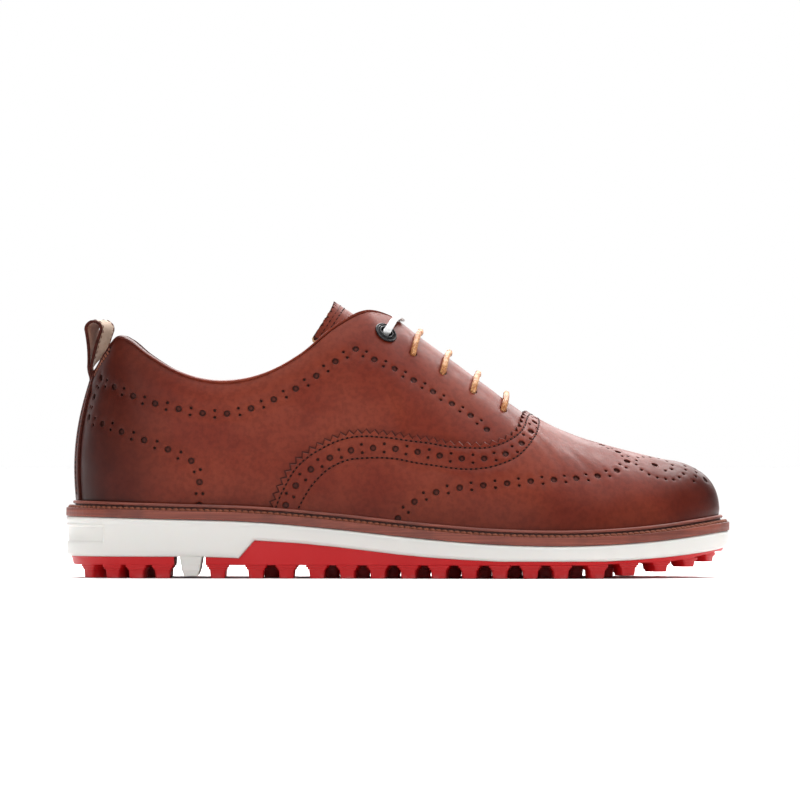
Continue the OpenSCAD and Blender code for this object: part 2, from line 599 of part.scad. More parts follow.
// Flat lace through the two top eyelets
module top_lace() {
  w = 3.5;
  t = 0.9;
  function at(s, f, h) = off(s * (EYELET_U + LEAN * f), EYELET_T + (0.985 - EYELET_T) * f, h);
  half = [[0, -4.4], [0, 1.8], [0.12, 3], [0.4, 3.4], [0.75, 2.8], [1, 1.8]];
  centre = concat([for (p = half) at(1, p[0], p[1])], [for (k = [5:-1:0]) at(-1, half[k][0], half[k][1])]);
  n = len(centre) - 1;
  along = last(EYELET_U + 0.1, EYELET_T, 0) - last(EYELET_U - 0.1, EYELET_T, 0);
  function dir(i) = let (v = centre[min(i + 1, n)] - centre[max(i - 1, 0)]) v / norm(v);
  function wide(i) = let (a = [along[0], 0, along[2]], d = dir(i), p = a - (a * d) * d) p / norm(p);
  color("#eceae6") sweep_solid([for (i = [0:n]) let (a = wide(i) * w / 2, b = cross(dir(i), wide(i)) * t / 2)
    [centre[i] + a - b, centre[i] - a - b, centre[i] - a + b, centre[i] + a + b]]);
}

outsole_heel();
outsole_forefoot();
midsole();
welt();
welt_stitches();
insole_board();
bottom_filler();
shank();
footbed();
vamp();
quarter_lateral();
quarter_medial();
backstay();
pull_loop();
heel_counter();
toe_puff();
vamp_lining();
quarter_lining();
collar_padding();
collar_binding();
facing_backings();
tongue();
tongue_lining();
eyelets();
eyelet_washers();
lace();
top_lace();
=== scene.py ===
"""Right golf shoe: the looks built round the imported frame. Shapes are worked out in millimetres."""

import math

import bpy
import numpy as np
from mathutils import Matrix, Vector, kdtree
from mathutils.geometry import delaunay_2d_cdt


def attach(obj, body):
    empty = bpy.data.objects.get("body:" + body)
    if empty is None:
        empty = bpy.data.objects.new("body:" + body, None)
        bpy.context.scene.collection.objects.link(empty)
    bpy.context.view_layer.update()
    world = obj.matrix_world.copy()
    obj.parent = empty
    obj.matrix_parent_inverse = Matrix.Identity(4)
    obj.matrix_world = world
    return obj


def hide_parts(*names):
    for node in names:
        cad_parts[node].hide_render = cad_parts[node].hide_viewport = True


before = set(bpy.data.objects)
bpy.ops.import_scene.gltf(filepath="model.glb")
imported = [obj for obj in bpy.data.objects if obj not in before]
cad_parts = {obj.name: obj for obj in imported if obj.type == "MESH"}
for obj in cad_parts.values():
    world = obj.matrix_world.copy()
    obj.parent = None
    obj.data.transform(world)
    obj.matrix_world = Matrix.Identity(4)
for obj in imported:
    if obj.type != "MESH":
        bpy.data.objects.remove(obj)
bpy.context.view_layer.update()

MM = 0.001
ROOT = "shoe"
LATERAL, MEDIAL = -1, 1
SIDES = (LATERAL, MEDIAL)


def linked(name, data):
    """New object in the scene."""
    obj = bpy.data.objects.new(name, data)
    bpy.context.scene.collection.objects.link(obj)
    return obj


def make_camera():
    """Level with the shoe's side, far off through a long lens, as in a product picture."""
    data = bpy.data.cameras.new("camera")
    data.lens = 500
    data.clip_start, data.clip_end = 0.05, 30
    camera = linked("camera", data)
    camera.location = (0.0011, -4.997, 0.0797)
    camera.rotation_euler = (math.radians(90), 0, 0)
    bpy.context.scene.camera = camera


make_camera()

# ---- The last: the same surface that every layer of the CAD upper follows ----
# foot x, lateral foot y, medial foot y, top x, arch, crown slope, side bulge, fullness
STATIONS = [
    (-146.5, 3, 3, -138.5, 0, 0, 2.6, 1), (-139, -18, 23, -134, 0, 0, 2.8, 1),
    (-120, -29.5, 34, -121, 0, 0, 3, 1), (-95, -31.5, 35, -98, 0, 0, 3.2, 1),
    (-66, -32, 32, -70, 0, 0, 3.4, 1), (-36, -34, 28.5, -45, 0.1, -0.2, 3.4, 0.95),
    (-6, -39, 30, -20, 0.6, -0.5, 2.6, 1.08), (24, -45, 38.5, 5, 1, -0.7, 1.2, 1.18),
    (52, -48.7, 46, 31, 1, -0.72, 0.6, 1.14), (79, -47.5, 48.7, 56, 1, -0.55, 0.4, 1),
    (103, -39.5, 45.5, 79, 1, -0.34, 0.2, 0.88), (123.5, -27.5, 36, 100, 1, -0.27, 0, 0.78),
    (139, -11.5, 23, 114, 1, -0.25, 0, 0.71), (147, 6, 6, 119, 1, -0.25, 0, 0.66),
]
TOE = len(STATIONS) - 1
RING = np.array([[s[0], s[1], *s[3:]] for s in STATIONS]
                + [[s[0], s[2], *s[3:]] for s in STATIONS[-2:0:-1]])
TURN = len(RING)
SOLE_TOP = [(-150, 27.8), (-110, 26.6), (-60, 24.9), (-25, 21.8), (10, 18), (45, 15.2), (80, 14.6),
            (115, 16.8), (150, 21.9)]
TOPLINE = [(-140, 91), (-137, 93.5), (-132, 101.5), (-126, 109), (-121, 107.6), (-112, 101), (-98, 92.8),
           (-80, 88.7), (-62, 91.4), (-44, 100.8), (-27, 114.5), (-12, 121), (-3, 118.8), (10, 109.5),
           (30, 95), (50, 80.5), (64, 71), (78, 64.5), (95, 59.2), (118, 53.3), (130, 50)]
TREAD = [(60, 0), (88, 0), (102, 1.4), (118, 3.3), (132, 5.8), (142, 8.2)]
RIDGE_Y = 3.0
THROAT_X = 57.0
FACING_GAP = 8.0
QUARTER_OUT = 1.6
LEATHER_T = 1.3
COLLAR_END = 6.6


def unit(v):
    """Each row made one long."""
    return v / np.linalg.norm(v, axis=-1, keepdims=True)


def travelled(points):
    """Distance along a polyline at each of its points."""
    return np.concatenate([[0], np.cumsum(np.linalg.norm(np.diff(points, axis=0), axis=1))])


def sampled(at, s, values):
    """Rows of values, known at the distances s, at other distances."""
    return np.stack([np.interp(at, s, column) for column in np.transpose(values)], -1)


def ramp(v, low, high):
    s = np.clip((np.asarray(v, float) - low) / (high - low), 0, 1)
    return s * s * (3 - 2 * s)


def curve(points, at):
    """Smooth curve through given points, as in the CAD source."""
    p = np.array(points, float)
    x, y = p[:, 0], p[:, 1]
    h = np.diff(x)
    s = np.diff(y) / h
    m = np.empty(len(x))
    m[0], m[-1] = s[0], s[-1]
    m[1:-1] = (s[:-1] * h[1:] + s[1:] * h[:-1]) / (h[:-1] + h[1:])
    at = np.clip(at, x[0], x[-1])
    i = np.clip(np.searchsorted(x, at, side="right") - 1, 0, len(x) - 2)
    t = (at - x[i]) / h[i]
    return ((2 * t**3 - 3 * t**2 + 1) * y[i] + (t**3 - 2 * t**2 + t) * h[i] * m[i]
            + (3 * t**2 - 2 * t**3) * y[i + 1] + (t**3 - t**2) * h[i] * m[i + 1])


def ring(u):
    """The B-spline round the last at u, and its direction."""
    u = np.asarray(u, float) % TURN
    i = np.floor(u).astype(int)
    f = (u - i)[..., None]
    g = 1 - f
    near = [RING[(i + k) % TURN] for k in (-1, 0, 1, 2)]
    value = (g**3 * near[0] + (3 * f**3 - 6 * f**2 + 4) * near[1]
             + (3 * g**3 - 6 * g**2 + 4) * near[2] + f**3 * near[3]) / 6
    slope = (-g**2 * near[0] + (3 * f**2 - 4 * f) * near[1]
             + (-3 * g**2 + 4 * g) * near[2] + f**2 * near[3]) / 2
    return value, slope


def half_gap(x):
    """Half the opening at x: the slot between the facings, the wide mouth, and its closing at the heel."""
    s, back = np.clip(-x / 66, 0, 1), np.clip((-82 - x) / 55, 0, 1)
    slot = FACING_GAP / 2 * np.clip((THROAT_X - x) / 16, 0, 1) ** 0.6
    return (slot + 24.5 * s * (2 - s) * ramp(-x, 0, 14)) * (1 - back**2.5) ** 0.4


def outward(u):
    """Direction square to the last's outline, in plan."""
    _, d = ring(u)
    return unit(np.stack([d[..., 1], -d[..., 0]], -1))


def fold(u):
    """Position from the heel, the same on both sides."""
    u = np.asarray(u, float) % TURN
    return np.minimum(u, TURN - u)


def last(u, t, d=0.0):
    """Point at u round the last, t up from the sole to the top, d below the surface."""
    u, t, d = np.broadcast_arrays(*(np.asarray(v, float) for v in (u, t, d)))
    v, n = ring(u)[0], outward(u)
    fx, fy, tx, arch, slope, bulge, full = (v[..., k] for k in range(7))
    side = np.where((u % TURN) <= TOE, LATERAL, MEDIAL)
    foot = np.stack([fx - n[..., 0] * d, fy - n[..., 1] * d], -1)
    deep = d * (1 - arch)
    top = np.stack([tx - n[..., 0] * deep, RIDGE_Y + side * half_gap(tx) - n[..., 1] * deep], -1)
    low, high = curve(SOLE_TOP, fx) + 0.2, curve(TOPLINE, tx) - d * arch
    climb = slope * arch * (top[..., 0] - foot[..., 0])
    sine, cosine = np.sin(np.pi * t / 2), np.clip(np.cos(np.pi * t / 2), 0, 1)
    a = (1 - arch) * t + arch * np.abs(sine) ** full
    b = (1 - arch) * t**2 + arch * (1 - cosine**full)
    w = bulge * np.sin(np.pi * t)
    plan = foot + (top - foot) * b[..., None] + n * w[..., None]
    return np.concatenate([plan, (low + (high - low - climb) * a + climb * b)[..., None]], -1)


def around(f, side):
    """Position round the whole last from the folded position f, 0 at the heel and TOE at the toe."""
    return f if side == LATERAL else TURN - f


def tangents(f, t, side, d=0.0):
    """Directions of growing f and of growing t, in mm per unit, and the outward normal."""
    e = 0.004
    f, t = np.asarray(f, float), np.asarray(t, float)
    low, high = np.clip(t - e, 0, 1), np.clip(t + e, 0, 1)
    df = (last(around(f + e, side), t, d) - last(around(f - e, side), t, d)) / (2 * e)
    dt = (last(around(f, side), high, d) - last(around(f, side), low, d)) / (high - low)[..., None]
    n = np.cross(df, dt) * -side
    return df, dt, n / np.maximum(np.linalg.norm(n, axis=-1, keepdims=True), 1e-9)


def moved(f, t, side, step):
    """(f, t) after a step in mm, given as a vector near the tangent plane."""
    df, dt, _ = tangents(f, t, side)
    a, b, c = (df * df).sum(-1), (df * dt).sum(-1), (dt * dt).sum(-1)
    p, q = (df * step).sum(-1), (dt * step).sum(-1)
    det = np.maximum(a * c - b * b, 1e-6)
    return f + (c * p - b * q) / det, t + (a * q - b * p) / det


# ---- Paths on the last, in folded position and height ----
def through(points, count=240):
    """Smooth Catmull-Rom path through points, spread evenly by its parameter."""
    p = np.array(points, float)
    p = np.vstack([2 * p[0] - p[1], p, 2 * p[-1] - p[-2]])
    at = np.linspace(0, len(p) - 3, count)
    i = np.minimum(at.astype(int), len(p) - 4)
    s = (at - i)[:, None]
    a, b, c, d = p[i], p[i + 1], p[i + 2], p[i + 3]
    return 0.5 * (2 * b + (c - a) * s + (2 * a - 5 * b + 4 * c - d) * s**2 + (3 * b - a - 3 * c + d) * s**3)


def lengths(path, side):
    """Distance in mm along a path, at each of its points."""
    return travelled(last(around(path[:, 0], side), path[:, 1]))


def dealt(path, side, count, start=0.0, end=0.0):
    """So many points evenly along the path, from start mm in to end mm before its end."""
    s = lengths(path, side)
    return sampled(np.linspace(start, s[-1] - end, count), s, path)


def beside(path, side, across):
    """The path moved across mm to the side, to its left as seen from outside on the lateral side."""
    f, t = path[:, 0], path[:, 1]
    along = unit(np.gradient(last(around(f, side), t), axis=0))
    _, _, n = tangents(f, t, side)
    step = np.cross(n, along) * -side * np.asarray(across, float).reshape(-1, 1)
    return np.stack(moved(f, t, side, step), -1)


EDGE = through([(4.22, 0.0), (4.31, 0.12), (4.42, 0.225), (4.62, 0.348), (4.85, 0.413), (5.12, 0.438),
                (5.4, 0.435), (5.8, 0.404), (6.1, 0.378), (6.5, 0.364), (7, 0.381), (7.4, 0.41),
                (7.8, 0.452), (8.15, 0.523), (8.45, 0.626), (8.75, 0.8), (9.12, 1)])
EDGE_ROW_2 = through([(4.66, 0.0), (4.74, 0.105), (4.93, 0.215), (5.17, 0.283), (5.46, 0.303), (5.8, 0.292),
                      (6.2, 0.278), (6.6, 0.271), (7.1, 0.289), (7.5, 0.316), (7.9, 0.364), (8.3, 0.446),
                      (8.7, 0.6), (9, 0.78), (9.3, 1)])
BAND_LINE = through([(4.54, 0.115), (4.68, 0.222), (4.93, 0.308), (5.24, 0.342), (5.6, 0.339), (5.9, 0.326),
                     (6.25, 0.312), (6.6, 0.31), (7, 0.322), (7.4, 0.347), (7.8, 0.387), (8.2, 0.456),
                     (8.55, 0.575), (8.8, 0.7), (9.08, 0.875)])
COLLAR_LINE = through([(1.08, 0.838), (1.37, 0.752), (1.67, 0.704), (2.08, 0.689), (2.52, 0.711),
                       (2.92, 0.737), (3.72, 0.76), (4.52, 0.802), (5.22, 0.804), (5.87, 0.787)])
FACING_LINE = through([(5.87, 0.79), (6.1, 0.69), (6.4, 0.625), (6.7, 0.585), (7, 0.574), (7.6, 0.556),
                       (7.83, 0.522)])
COUNTER_LINE = through([(0.76, 0.635), (1.05, 0.575), (1.35, 0.528), (1.8, 0.472), (2.3, 0.46), (2.7, 0.447),
                        (3.1, 0.402)])
COUNTER_FRONT = through([(3.1, 0.402), (3.2, 0.33), (3.22, 0.247), (3.21, 0.1)])
STRAP_LINE = through([(1.08, 0.838), (0.92, 0.79), (0.82, 0.72), (0.76, 0.635)])
WING_LINE = through([(6.21, 0.067), (6.47, 0.136), (6.82, 0.186), (7.2, 0.226), (7.6, 0.26),
                     (8, 0.292), (8.4, 0.326), (8.8, 0.361), (9.24, 0.405), (9.7, 0.457), (10.15, 0.534),
                     (10.5, 0.661)])
WING_PEAK = through([(10.5, 0.661), (10.58, 0.74), (10.52, 0.82), (10.38, 0.91), (10.35, 1.0)])


# ---- Meshes ----
def make(name, solid, slot, materials, body=ROOT, replaces=(), face_slots=None, shade=None, sharp=40):
    """Object from a solid's (points in mm, faces), riding on a body."""
    points, faces = solid
    mesh = bpy.data.meshes.new(name)
    mesh.from_pydata((np.asarray(points, float) * MM).tolist(), [], [list(map(int, f)) for f in faces])
    mesh.update()
    for material in materials:
        mesh.materials.append(material)
    if face_slots is not None:
        mesh.polygons.foreach_set("material_index", np.asarray(face_slots, np.int32))
    if shade is not None:
        attribute = mesh.attributes.new("shade", "FLOAT", "POINT")
        attribute.data.foreach_set("value", np.asarray(shade, np.float32))
    mesh.polygons.foreach_set("use_smooth", np.ones(len(mesh.polygons), bool))
    mesh.set_sharp_from_angle(angle=math.radians(sharp))
    obj = linked(name, mesh)
    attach(obj, body)
    if replaces:
        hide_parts(*replaces)
    return obj


def grid_faces(n, m, close_n=False, close_m=False, start=0):
    """Quads of an n by m grid of points, row by row."""
    return [[start + i * m + j, start + ((i + 1) % n) * m + j, start + ((i + 1) % n) * m + (j + 1) % m,
             start + i * m + (j + 1) % m]
            for i in range(n if close_n else n - 1) for j in range(m if close_m else m - 1)]


def tube(sections, closed=False):
    """Points and faces of a body swept through sections of equal length, capped where it is open."""
    sections = np.asarray(sections, float)
    n, m = sections.shape[:2]
    faces = grid_faces(n, m, close_n=closed, close_m=True)
    if not closed:
        faces += [list(range(m)), list(range(n * m - 1, n * m - m - 1, -1))]
    return sections.reshape(-1, 3), faces


def facing_out(solid):
    """The solid, with its faces turned round if its volume comes out negative."""
    points, faces = solid
    p = points - points.mean(0)
    volume = sum(np.dot(p[f[0]], np.cross(p[a], p[b])) for f in faces for a, b in zip(f[1:], f[2:]))
    return points, [f[::-1] for f in faces] if volume < 0 else faces


def joined(parts):
    """Several solids as one."""
    points, faces, start = [], [], 0
    for p, f in parts:
        points.append(p)
        faces += [[i + start for i in face] for face in f]
        start += len(p)
    return np.vstack(points), faces


def inside(polygon, q):
    """Which of the points q lie in the polygon."""
    a, b = polygon, np.roll(polygon, -1, 0)
    found = np.zeros(len(q), bool)
    for (ax, ay), (bx, by) in zip(a, b):
        if ay == by:
            continue
        crosses = (ay > q[:, 1]) != (by > q[:, 1])
        found ^= crosses & (q[:, 0] < ax + (q[:, 1] - ay) * (bx - ax) / (by - ay))
    return found


# ---- Leather panels: cut, punched and grooved in a flat pattern, then laid on the last ----
PATTERN = np.array([21.0, 62.0])    # mm of leather to a step of f and of t
BIG, SMALL = 1.42, 0.62             # radii of the broguing's holes
WELD = 0.03                         # points closer than this are one


def runs(path, keep):
    """The stretches of a path that are kept."""
    turns = np.flatnonzero(np.diff(np.concatenate([[0], keep.astype(int), [0]])))
    return [path[a:b] for a, b in zip(turns[::2], turns[1::2]) if b - a > 1]


def nearness(points):
    """Tree that finds the points near a place."""
    tree = kdtree.KDTree(len(points))
    for k, p in enumerate(points):
        tree.insert(p, k)
    tree.balance()
    return tree


class Panel:
    """One side's piece of leather. Points are kept as pattern points with an extra depth in mm."""

    def __init__(self, side, outline):
        self.side = side
        self.outline = np.asarray(outline, float)
        self.points, self.extra, self.edges, self.dark = [], [], [], []
        self.through, self.count = [], 0
        self.add(self.outline, 0.0, closed=True)

    def add(self, path, extra, closed=False, dark=0.0, line=True):
        n = len(path)
        self.points.append(np.asarray(path, float))
        self.extra.append(np.full(n, float(extra)))
        self.dark.append(np.full(n, float(dark)))
        pairs = range(n if closed else n - 1) if line else ()
        self.edges += [(self.count + k, self.count + (k + 1) % n) for k in pairs]
        self.count += n

    def circle(self, f, t, r, sides):
        a = np.arange(sides) * 2 * np.pi / sides
        df, _, n = tangents(np.array([f]), np.array([t]), self.side)
        e1 = unit(df)
        step = r * (np.cos(a)[:, None] * e1 + np.sin(a)[:, None] * np.cross(n, e1))
        return np.stack(moved(np.full(sides, f), np.full(sides, t), self.side, step), -1)

    def punch(self, f, t, r, sides=14):
        """Blind round hole with a pressed rim, its wall and floor darkened as painted shade."""
        rim = self.circle(f, t, r + 0.5, sides)
        if rim[:, 1].max() > 0.985 or rim[:, 1].min() < 0.004 or not inside(self.outline, rim).all():
            return
        rings = ((r + 0.5, 0, 0), (r + 0.16, 0.1, 0.12), (r, 0.34, 0.72), (r * 0.86, 1.0, 0.92))
        for radius, extra, dark in rings:
            self.add(self.circle(f, t, radius, sides), extra, closed=True, dark=dark)
        self.add([(f, t)], 0.95, dark=0.35 if r > 1 else 0.9)

    def bore(self, f, t, r, sides=18):
        """Round hole right through, its sunk rim darkened as painted shade."""
        for radius, extra in ((r + 0.6, 0), (r + 0.15, 0.08), (r, 0.3)):
            self.add(self.circle(f, t, radius, sides), extra, closed=True, dark=0.4 if extra else 0)
        self.through.append(self.circle(f, t, r * 0.999, sides))

    def groove(self, path, depth=0.22, half=0.7, dark=0.25):
        """Pressed line, clear of the outline, darkened along its bottom as painted shade."""
        for across, extra in ((-half, 0), (0, depth), (half, 0)):
            line = beside(path, self.side, across)
            keep = inside(self.outline, line) & (line[:, 1] > 0.012) & (line[:, 1] < 0.985)
            for run in runs(line, keep):
                self.add(run, extra, dark=dark if extra else 0)

    def perforate(self, path, count, pair, first=True):
        """Broguing: large holes evenly along the path, and a pair of small ones between each two."""
        spots = dealt(path, self.side, 2 * count + 1)
        for k, (f, t) in enumerate(spots):
            if k % 2:
                for across in (-pair, pair):
                    q = beside(spots[k - 1:k + 2], self.side, across)[1]
                    self.punch(q[0], q[1], SMALL, sides=9)
            elif k or first:
                self.punch(f, t, BIG)

    def fill(self, spacing):
        """Points in between, on a staggered grid clear of every feature."""
        feature = np.vstack(self.points) * PATTERN
        low, high = feature.min(0), feature.max(0)
        spots = []
        for k, y in enumerate(np.arange(low[1], high[1], spacing * 0.87)):
            x = np.arange(low[0] + (k % 2) * spacing / 2, high[0], spacing)
            spots.append(np.stack([x, np.full(len(x), y)], -1))
        spots = np.vstack(spots)
        spots = spots[inside(self.outline * PATTERN, spots)]
        near = nearness(np.pad(feature, ((0, 0), (0, 1))))
        clear = np.array([near.find((p[0], p[1], 0))[2] > spacing * 0.6 for p in spots])
        self.add(spots[clear] / PATTERN, 0.0, line=False)

    def build(self, outer, inner, spacing=1.8):
        """Outer points, inner points, triangles and shade. Outer and inner give depths at f, t and u."""
        self.fill(spacing)
        flat = np.vstack(self.points)
        extra, dark = np.concatenate(self.extra), np.concatenate(self.dark)
        result = delaunay_2d_cdt([Vector(p) for p in flat * PATTERN], self.edges, [], 0, 1e-4)
        pattern = np.array([v[:] for v in result[0]]) / PATTERN
        origin = [o[0] if o else -1 for o in result[3]]
        extra = np.array([extra[o] if o >= 0 else 0 for o in origin])
        dark = np.array([dark[o] if o >= 0 else 0 for o in origin])
        tris = np.array([f for f in result[2] if len(f) == 3])
        middle = pattern[tris].mean(1)
        keep = inside(self.outline, middle)
        for hole in self.through:
            keep &= ~inside(hole, middle)
        tris = tris[keep]
        f, t = pattern[:, 0], np.clip(pattern[:, 1], 0, 1)
        u = around(f, self.side)
        top, under = last(u, t, outer(f, t, u, extra)), last(u, t, inner(f, t, u))
        if self.side == MEDIAL:
            tris = tris[:, ::-1]
        return top, under, tris, dark


def leather(depth, thick, relief):
    """Depths of a leather's two faces, raised by its relief."""
    return (lambda f, t, u, extra: depth + extra - relief(f, t),
            lambda f, t, u: depth + thick - relief(f, t))


def sheet(us, low, high, rows, outer, inner):
    """Plain layer over columns us between two heights and two depths, in the same form."""
    u, s = np.meshgrid(us, np.linspace(0, 1, rows + 1), indexing="ij")
    low, high = (edge(u) if callable(edge) else edge for edge in (low, high))
    t = low + (high - low) * s
    top, under = last(u, t, outer(u, t)).reshape(-1, 3), last(u, t, inner(u, t)).reshape(-1, 3)
    quads = np.array(grid_faces(len(us), rows + 1))
    tris = np.vstack([quads[:, [0, 1, 2]], quads[:, [0, 2, 3]]])
    return top, under, tris, np.zeros(len(top))


def stack(name, parts, **given):
    """One closed body of leather from the built parts, joined where their points meet."""
    start = np.cumsum([0] + [len(p[0]) for p in parts])
    top, under = np.vstack([p[0] for p in parts]), np.vstack([p[1] for p in parts])
    tris = np.vstack([p[2] + s for p, s in zip(parts, start)])
    dark = np.concatenate([p[3] for p in parts])
    near = nearness(top)
    merge = np.array([min(found[1] for found in near.find_range(p, WELD)) for p in top])
    tris = merge[tris]
    tris = tris[(tris[:, 0] != tris[:, 1]) & (tris[:, 1] != tris[:, 2]) & (tris[:, 0] != tris[:, 2])]
    used = np.unique(tris)
    place = np.zeros(len(top), int)
    place[used] = np.arange(len(used))
    top, under, dark, tris = top[used], under[used], dark[used], place[tris]
    pairs = {(a, b) for f in tris.tolist() for a, b in ((f[0], f[1]), (f[1], f[2]), (f[2], f[0]))}
    rim = sorted((a, b) for a, b in pairs if (b, a) not in pairs)
    n = len(top)
    faces = tris.tolist() + (tris[:, ::-1] + n).tolist() + [[b, a, a + n, b + n] for a, b in rim]
    slots = [0] * len(tris) + [1] * (len(tris) + len(rim))
    return make(name, (np.vstack([top, under]), faces), face_slots=slots, shade=np.concatenate([dark, dark]),
                **given)


# ---- Materials ----
class Nodes:
    """Short ways to add nodes to a material's or the world's tree."""

    def __init__(self, tree):
        self.tree = tree

    def feed(self, socket, value):
        """Link a socket to what feeds it, or set its number, vector or colour."""
        if isinstance(value, bpy.types.NodeSocket):
            self.tree.links.new(value, socket)
        elif socket.type == "RGBA":
            socket.default_value = (*value, 1)
        else:
            socket.default_value = value

    def add(self, kind, inputs=()):
        node = self.tree.nodes.new("ShaderNode" + kind)
        for key, value in dict(inputs).items():
            self.feed(node.inputs[key], value)
        return node

    def axes(self, vector):
        """Sockets of a vector's X, Y and Z."""
        return self.add("SeparateXYZ", {"Vector": vector}).outputs

    def levels(self, value, low, high, to_low=0.0, to_high=1.0):
        node = self.add("MapRange", {"Value": value, "From Min": low, "From Max": high,
                                     "To Min": to_low, "To Max": to_high})
        node.interpolation_type = "SMOOTHSTEP"
        return node.outputs["Result"]

    def maths(self, kind, a, b=None):
        node = self.add("Math", {0: a} if b is None else {0: a, 1: b})
        node.operation = kind
        return node.outputs["Value"]

    def blend(self, factor, a, b):
        """Colour mix; a and b are colours or sockets."""
        factor_input, a_input, b_input, colour_output = 0, 6, 7, 2
        node = self.add("Mix")
        node.data_type = "RGBA"
        for key, value in ((factor_input, factor), (a_input, a), (b_input, b)):
            self.feed(node.inputs[key], value)
        return node.outputs[colour_output]


class Look(Nodes):
    """A material being made, textured in the object's own coordinates."""

    def __init__(self, name):
        self.material = bpy.data.materials.new(name)
        self.material.use_nodes = True
        super().__init__(self.material.node_tree)
        self.place = self.scaled(1, 1, 1)

    def scaled(self, *scale):
        where = self.add("TexCoord").outputs["Object"]
        return self.add("Mapping", {"Vector": where, "Scale": scale}).outputs["Vector"]

    def noise(self, scale, detail=3, rough=0.55, distortion=0.0, place=None):
        place = self.place if place is None else place
        return self.add("TexNoise", {"Vector": place, "Scale": scale, "Detail": detail, "Roughness": rough,
                                     "Distortion": distortion}).outputs["Fac"]

    def cells(self, scale, place=None):
        place = self.place if place is None else place
        return self.add("TexVoronoi", {"Vector": place, "Scale": scale}).outputs["Distance"]

    def wave(self, place, scale, distortion, bands="X"):
        node = self.add("TexWave", {"Vector": place, "Scale": scale, "Distortion": distortion})
        node.bands_direction = bands
        return node.outputs["Fac"]

    def painted_shade(self, colour, shade_colour):
        """The colour darkened towards the given dark colour by the mesh's shade attribute: painted shade in
        holes, grooves, edges and creases.
        """
        node = self.add("Attribute")
        node.attribute_name = "shade"
        return self.blend(node.outputs["Fac"], colour, shade_colour)

    def finish(self, colour, roughness, bumps, fixed=()):
        """Wire up the shader. Bumps are (height, strength, distance in metres)."""
        shader = self.tree.nodes["Principled BSDF"]
        normal = None
        for height, strength, distance in bumps:
            inputs = {"Height": height, "Strength": strength, "Distance": distance}
            if normal:
                inputs["Normal"] = normal
            normal = self.add("Bump", inputs).outputs["Normal"]
        wired = {"Base Color": colour, "Roughness": roughness} | dict(fixed)
        if normal:
            wired["Normal"] = normal
        for key, value in wired.items():
            self.feed(shader.inputs[key], value)
        return self.material


def srgb(r, g, b):
    """Linear colour from 0 to 255 display values."""
    shares = (r / 255, g / 255, b / 255)
    return tuple(c / 12.92 if c <= 0.04045 else ((c + 0.055) / 1.055) ** 2.4 for c in shares)


def dim(colour, by, lift=0.0):
    return tuple(c * by + lift for c in colour)


def calf(name, base, deep, light, burnish=1.0, rough=0.4):
    """Smooth waxed calf: cloudy colour, burnished towards toe, heel and sole, fine pores."""
    look = Look(name)
    cloud = look.levels(look.noise(28, 4), 0.35, 0.65)
    mottle = look.levels(look.noise(420), 0.35, 0.7)
    colour = look.blend(look.maths("MULTIPLY", cloud, 0.55), base, light)
    colour = look.blend(look.maths("MULTIPLY", mottle, 0.25), colour, deep)
    at = look.axes(look.place)
    toe = look.levels(at["X"], 0.1, 0.147)
    heel = look.levels(at["X"], -0.085, -0.14)
    ends = look.maths("MAXIMUM", toe, heel)
    ends = look.maths("MULTIPLY", ends, look.levels(look.noise(40), 0.2, 0.6, 0.7, 1.0))
    low = look.levels(at["Z"], 0.048, 0.02, 0, 0.45)
    worn = look.maths("MULTIPLY", look.maths("MAXIMUM", ends, low), burnish)
    colour = look.blend(look.maths("MULTIPLY", worn, 0.95), colour, deep)
    # Painted shade from the mesh's shade attribute: hole walls and floors, groove bottoms, the teeth's edges
    # and the shadow they cast.
    colour = look.painted_shade(colour, srgb(38, 16, 12))
    gloss = look.levels(look.noise(90), 0.3, 0.7, rough - 0.05, rough + 0.09)
    pores = look.levels(look.cells(1900), 0.0, 0.45)
    wrinkles = look.noise(330, 4, 0.6, 0.4, look.scaled(1, 1, 0.45))
    bumps = [(pores, 0.2, 0.00012), (wrinkles, 0.16, 0.0003), (look.noise(60, 2), 0.14, 0.0015)]
    return look.finish(colour, gloss, bumps, {"Coat Weight": 0.08, "Coat Roughness": 0.3,
                                              "Specular IOR Level": 0.08})


def cut_edge(name, colour):
    """Sanded and inked leather edge with lengthwise fibres."""
    look = Look(name)
    fibres = look.noise(1.0, place=look.scaled(160, 160, 1600))
    colour = look.blend(look.levels(fibres, 0.3, 0.7), colour, dim(colour, 0.45))
    bumps = [(fibres, 0.35, 0.0004), (look.noise(1500, 2), 0.2, 0.0002)]
    return look.finish(colour, 0.62, bumps, {"Specular IOR Level": 0.1})


def welt_leather():
    """Veg-tanned strip: reddish brown with fine lengthwise lines."""
    look = Look("welt_leather")
    lines = look.noise(1.0, 3, 0.6, place=look.scaled(18, 18, 1500))
    colour = look.blend(look.levels(lines, 0.3, 0.7), srgb(100, 40, 26), srgb(128, 60, 42))
    colour = look.blend(look.levels(look.noise(55, 4), 0.45, 0.75, 0, 0.5), colour, srgb(62, 22, 15))
    # Painted shade from the mesh's shade attribute, on the rows of the lip that lie in its channel.
    colour = look.painted_shade(colour, srgb(40, 18, 13))
    return look.finish(colour, 0.55, [(lines, 0.35, 0.0005), (look.noise(1100, 2), 0.15, 0.0002)])


def thread(name, colour):
    look = Look(name)
    twist = look.wave(look.scaled(1, 0.4, 1), 900, 1.5)
    colour = look.blend(twist, dim(colour, 0.55), colour)
    return look.finish(colour, 0.6, [(twist, 0.4, 0.0002)], {"Specular IOR Level": 0.2})


def suede(name, base, deep):
    """Open-fibre lining leather, soft and dull."""
    look = Look(name)
    nap = look.noise(1400, 4, 0.7)
    cloud = look.noise(70, 4)
    colour = look.blend(look.levels(cloud, 0.35, 0.7), base, deep)
    colour = look.blend(look.levels(nap, 0.4, 0.75, 0, 0.45), colour, dim(base, 0.55))
    bumps = [(nap, 0.45, 0.0003), (cloud, 0.2, 0.001)]
    return look.finish(colour, 0.92, bumps, {"Sheen Weight": 0.35, "Sheen Roughness": 0.5})


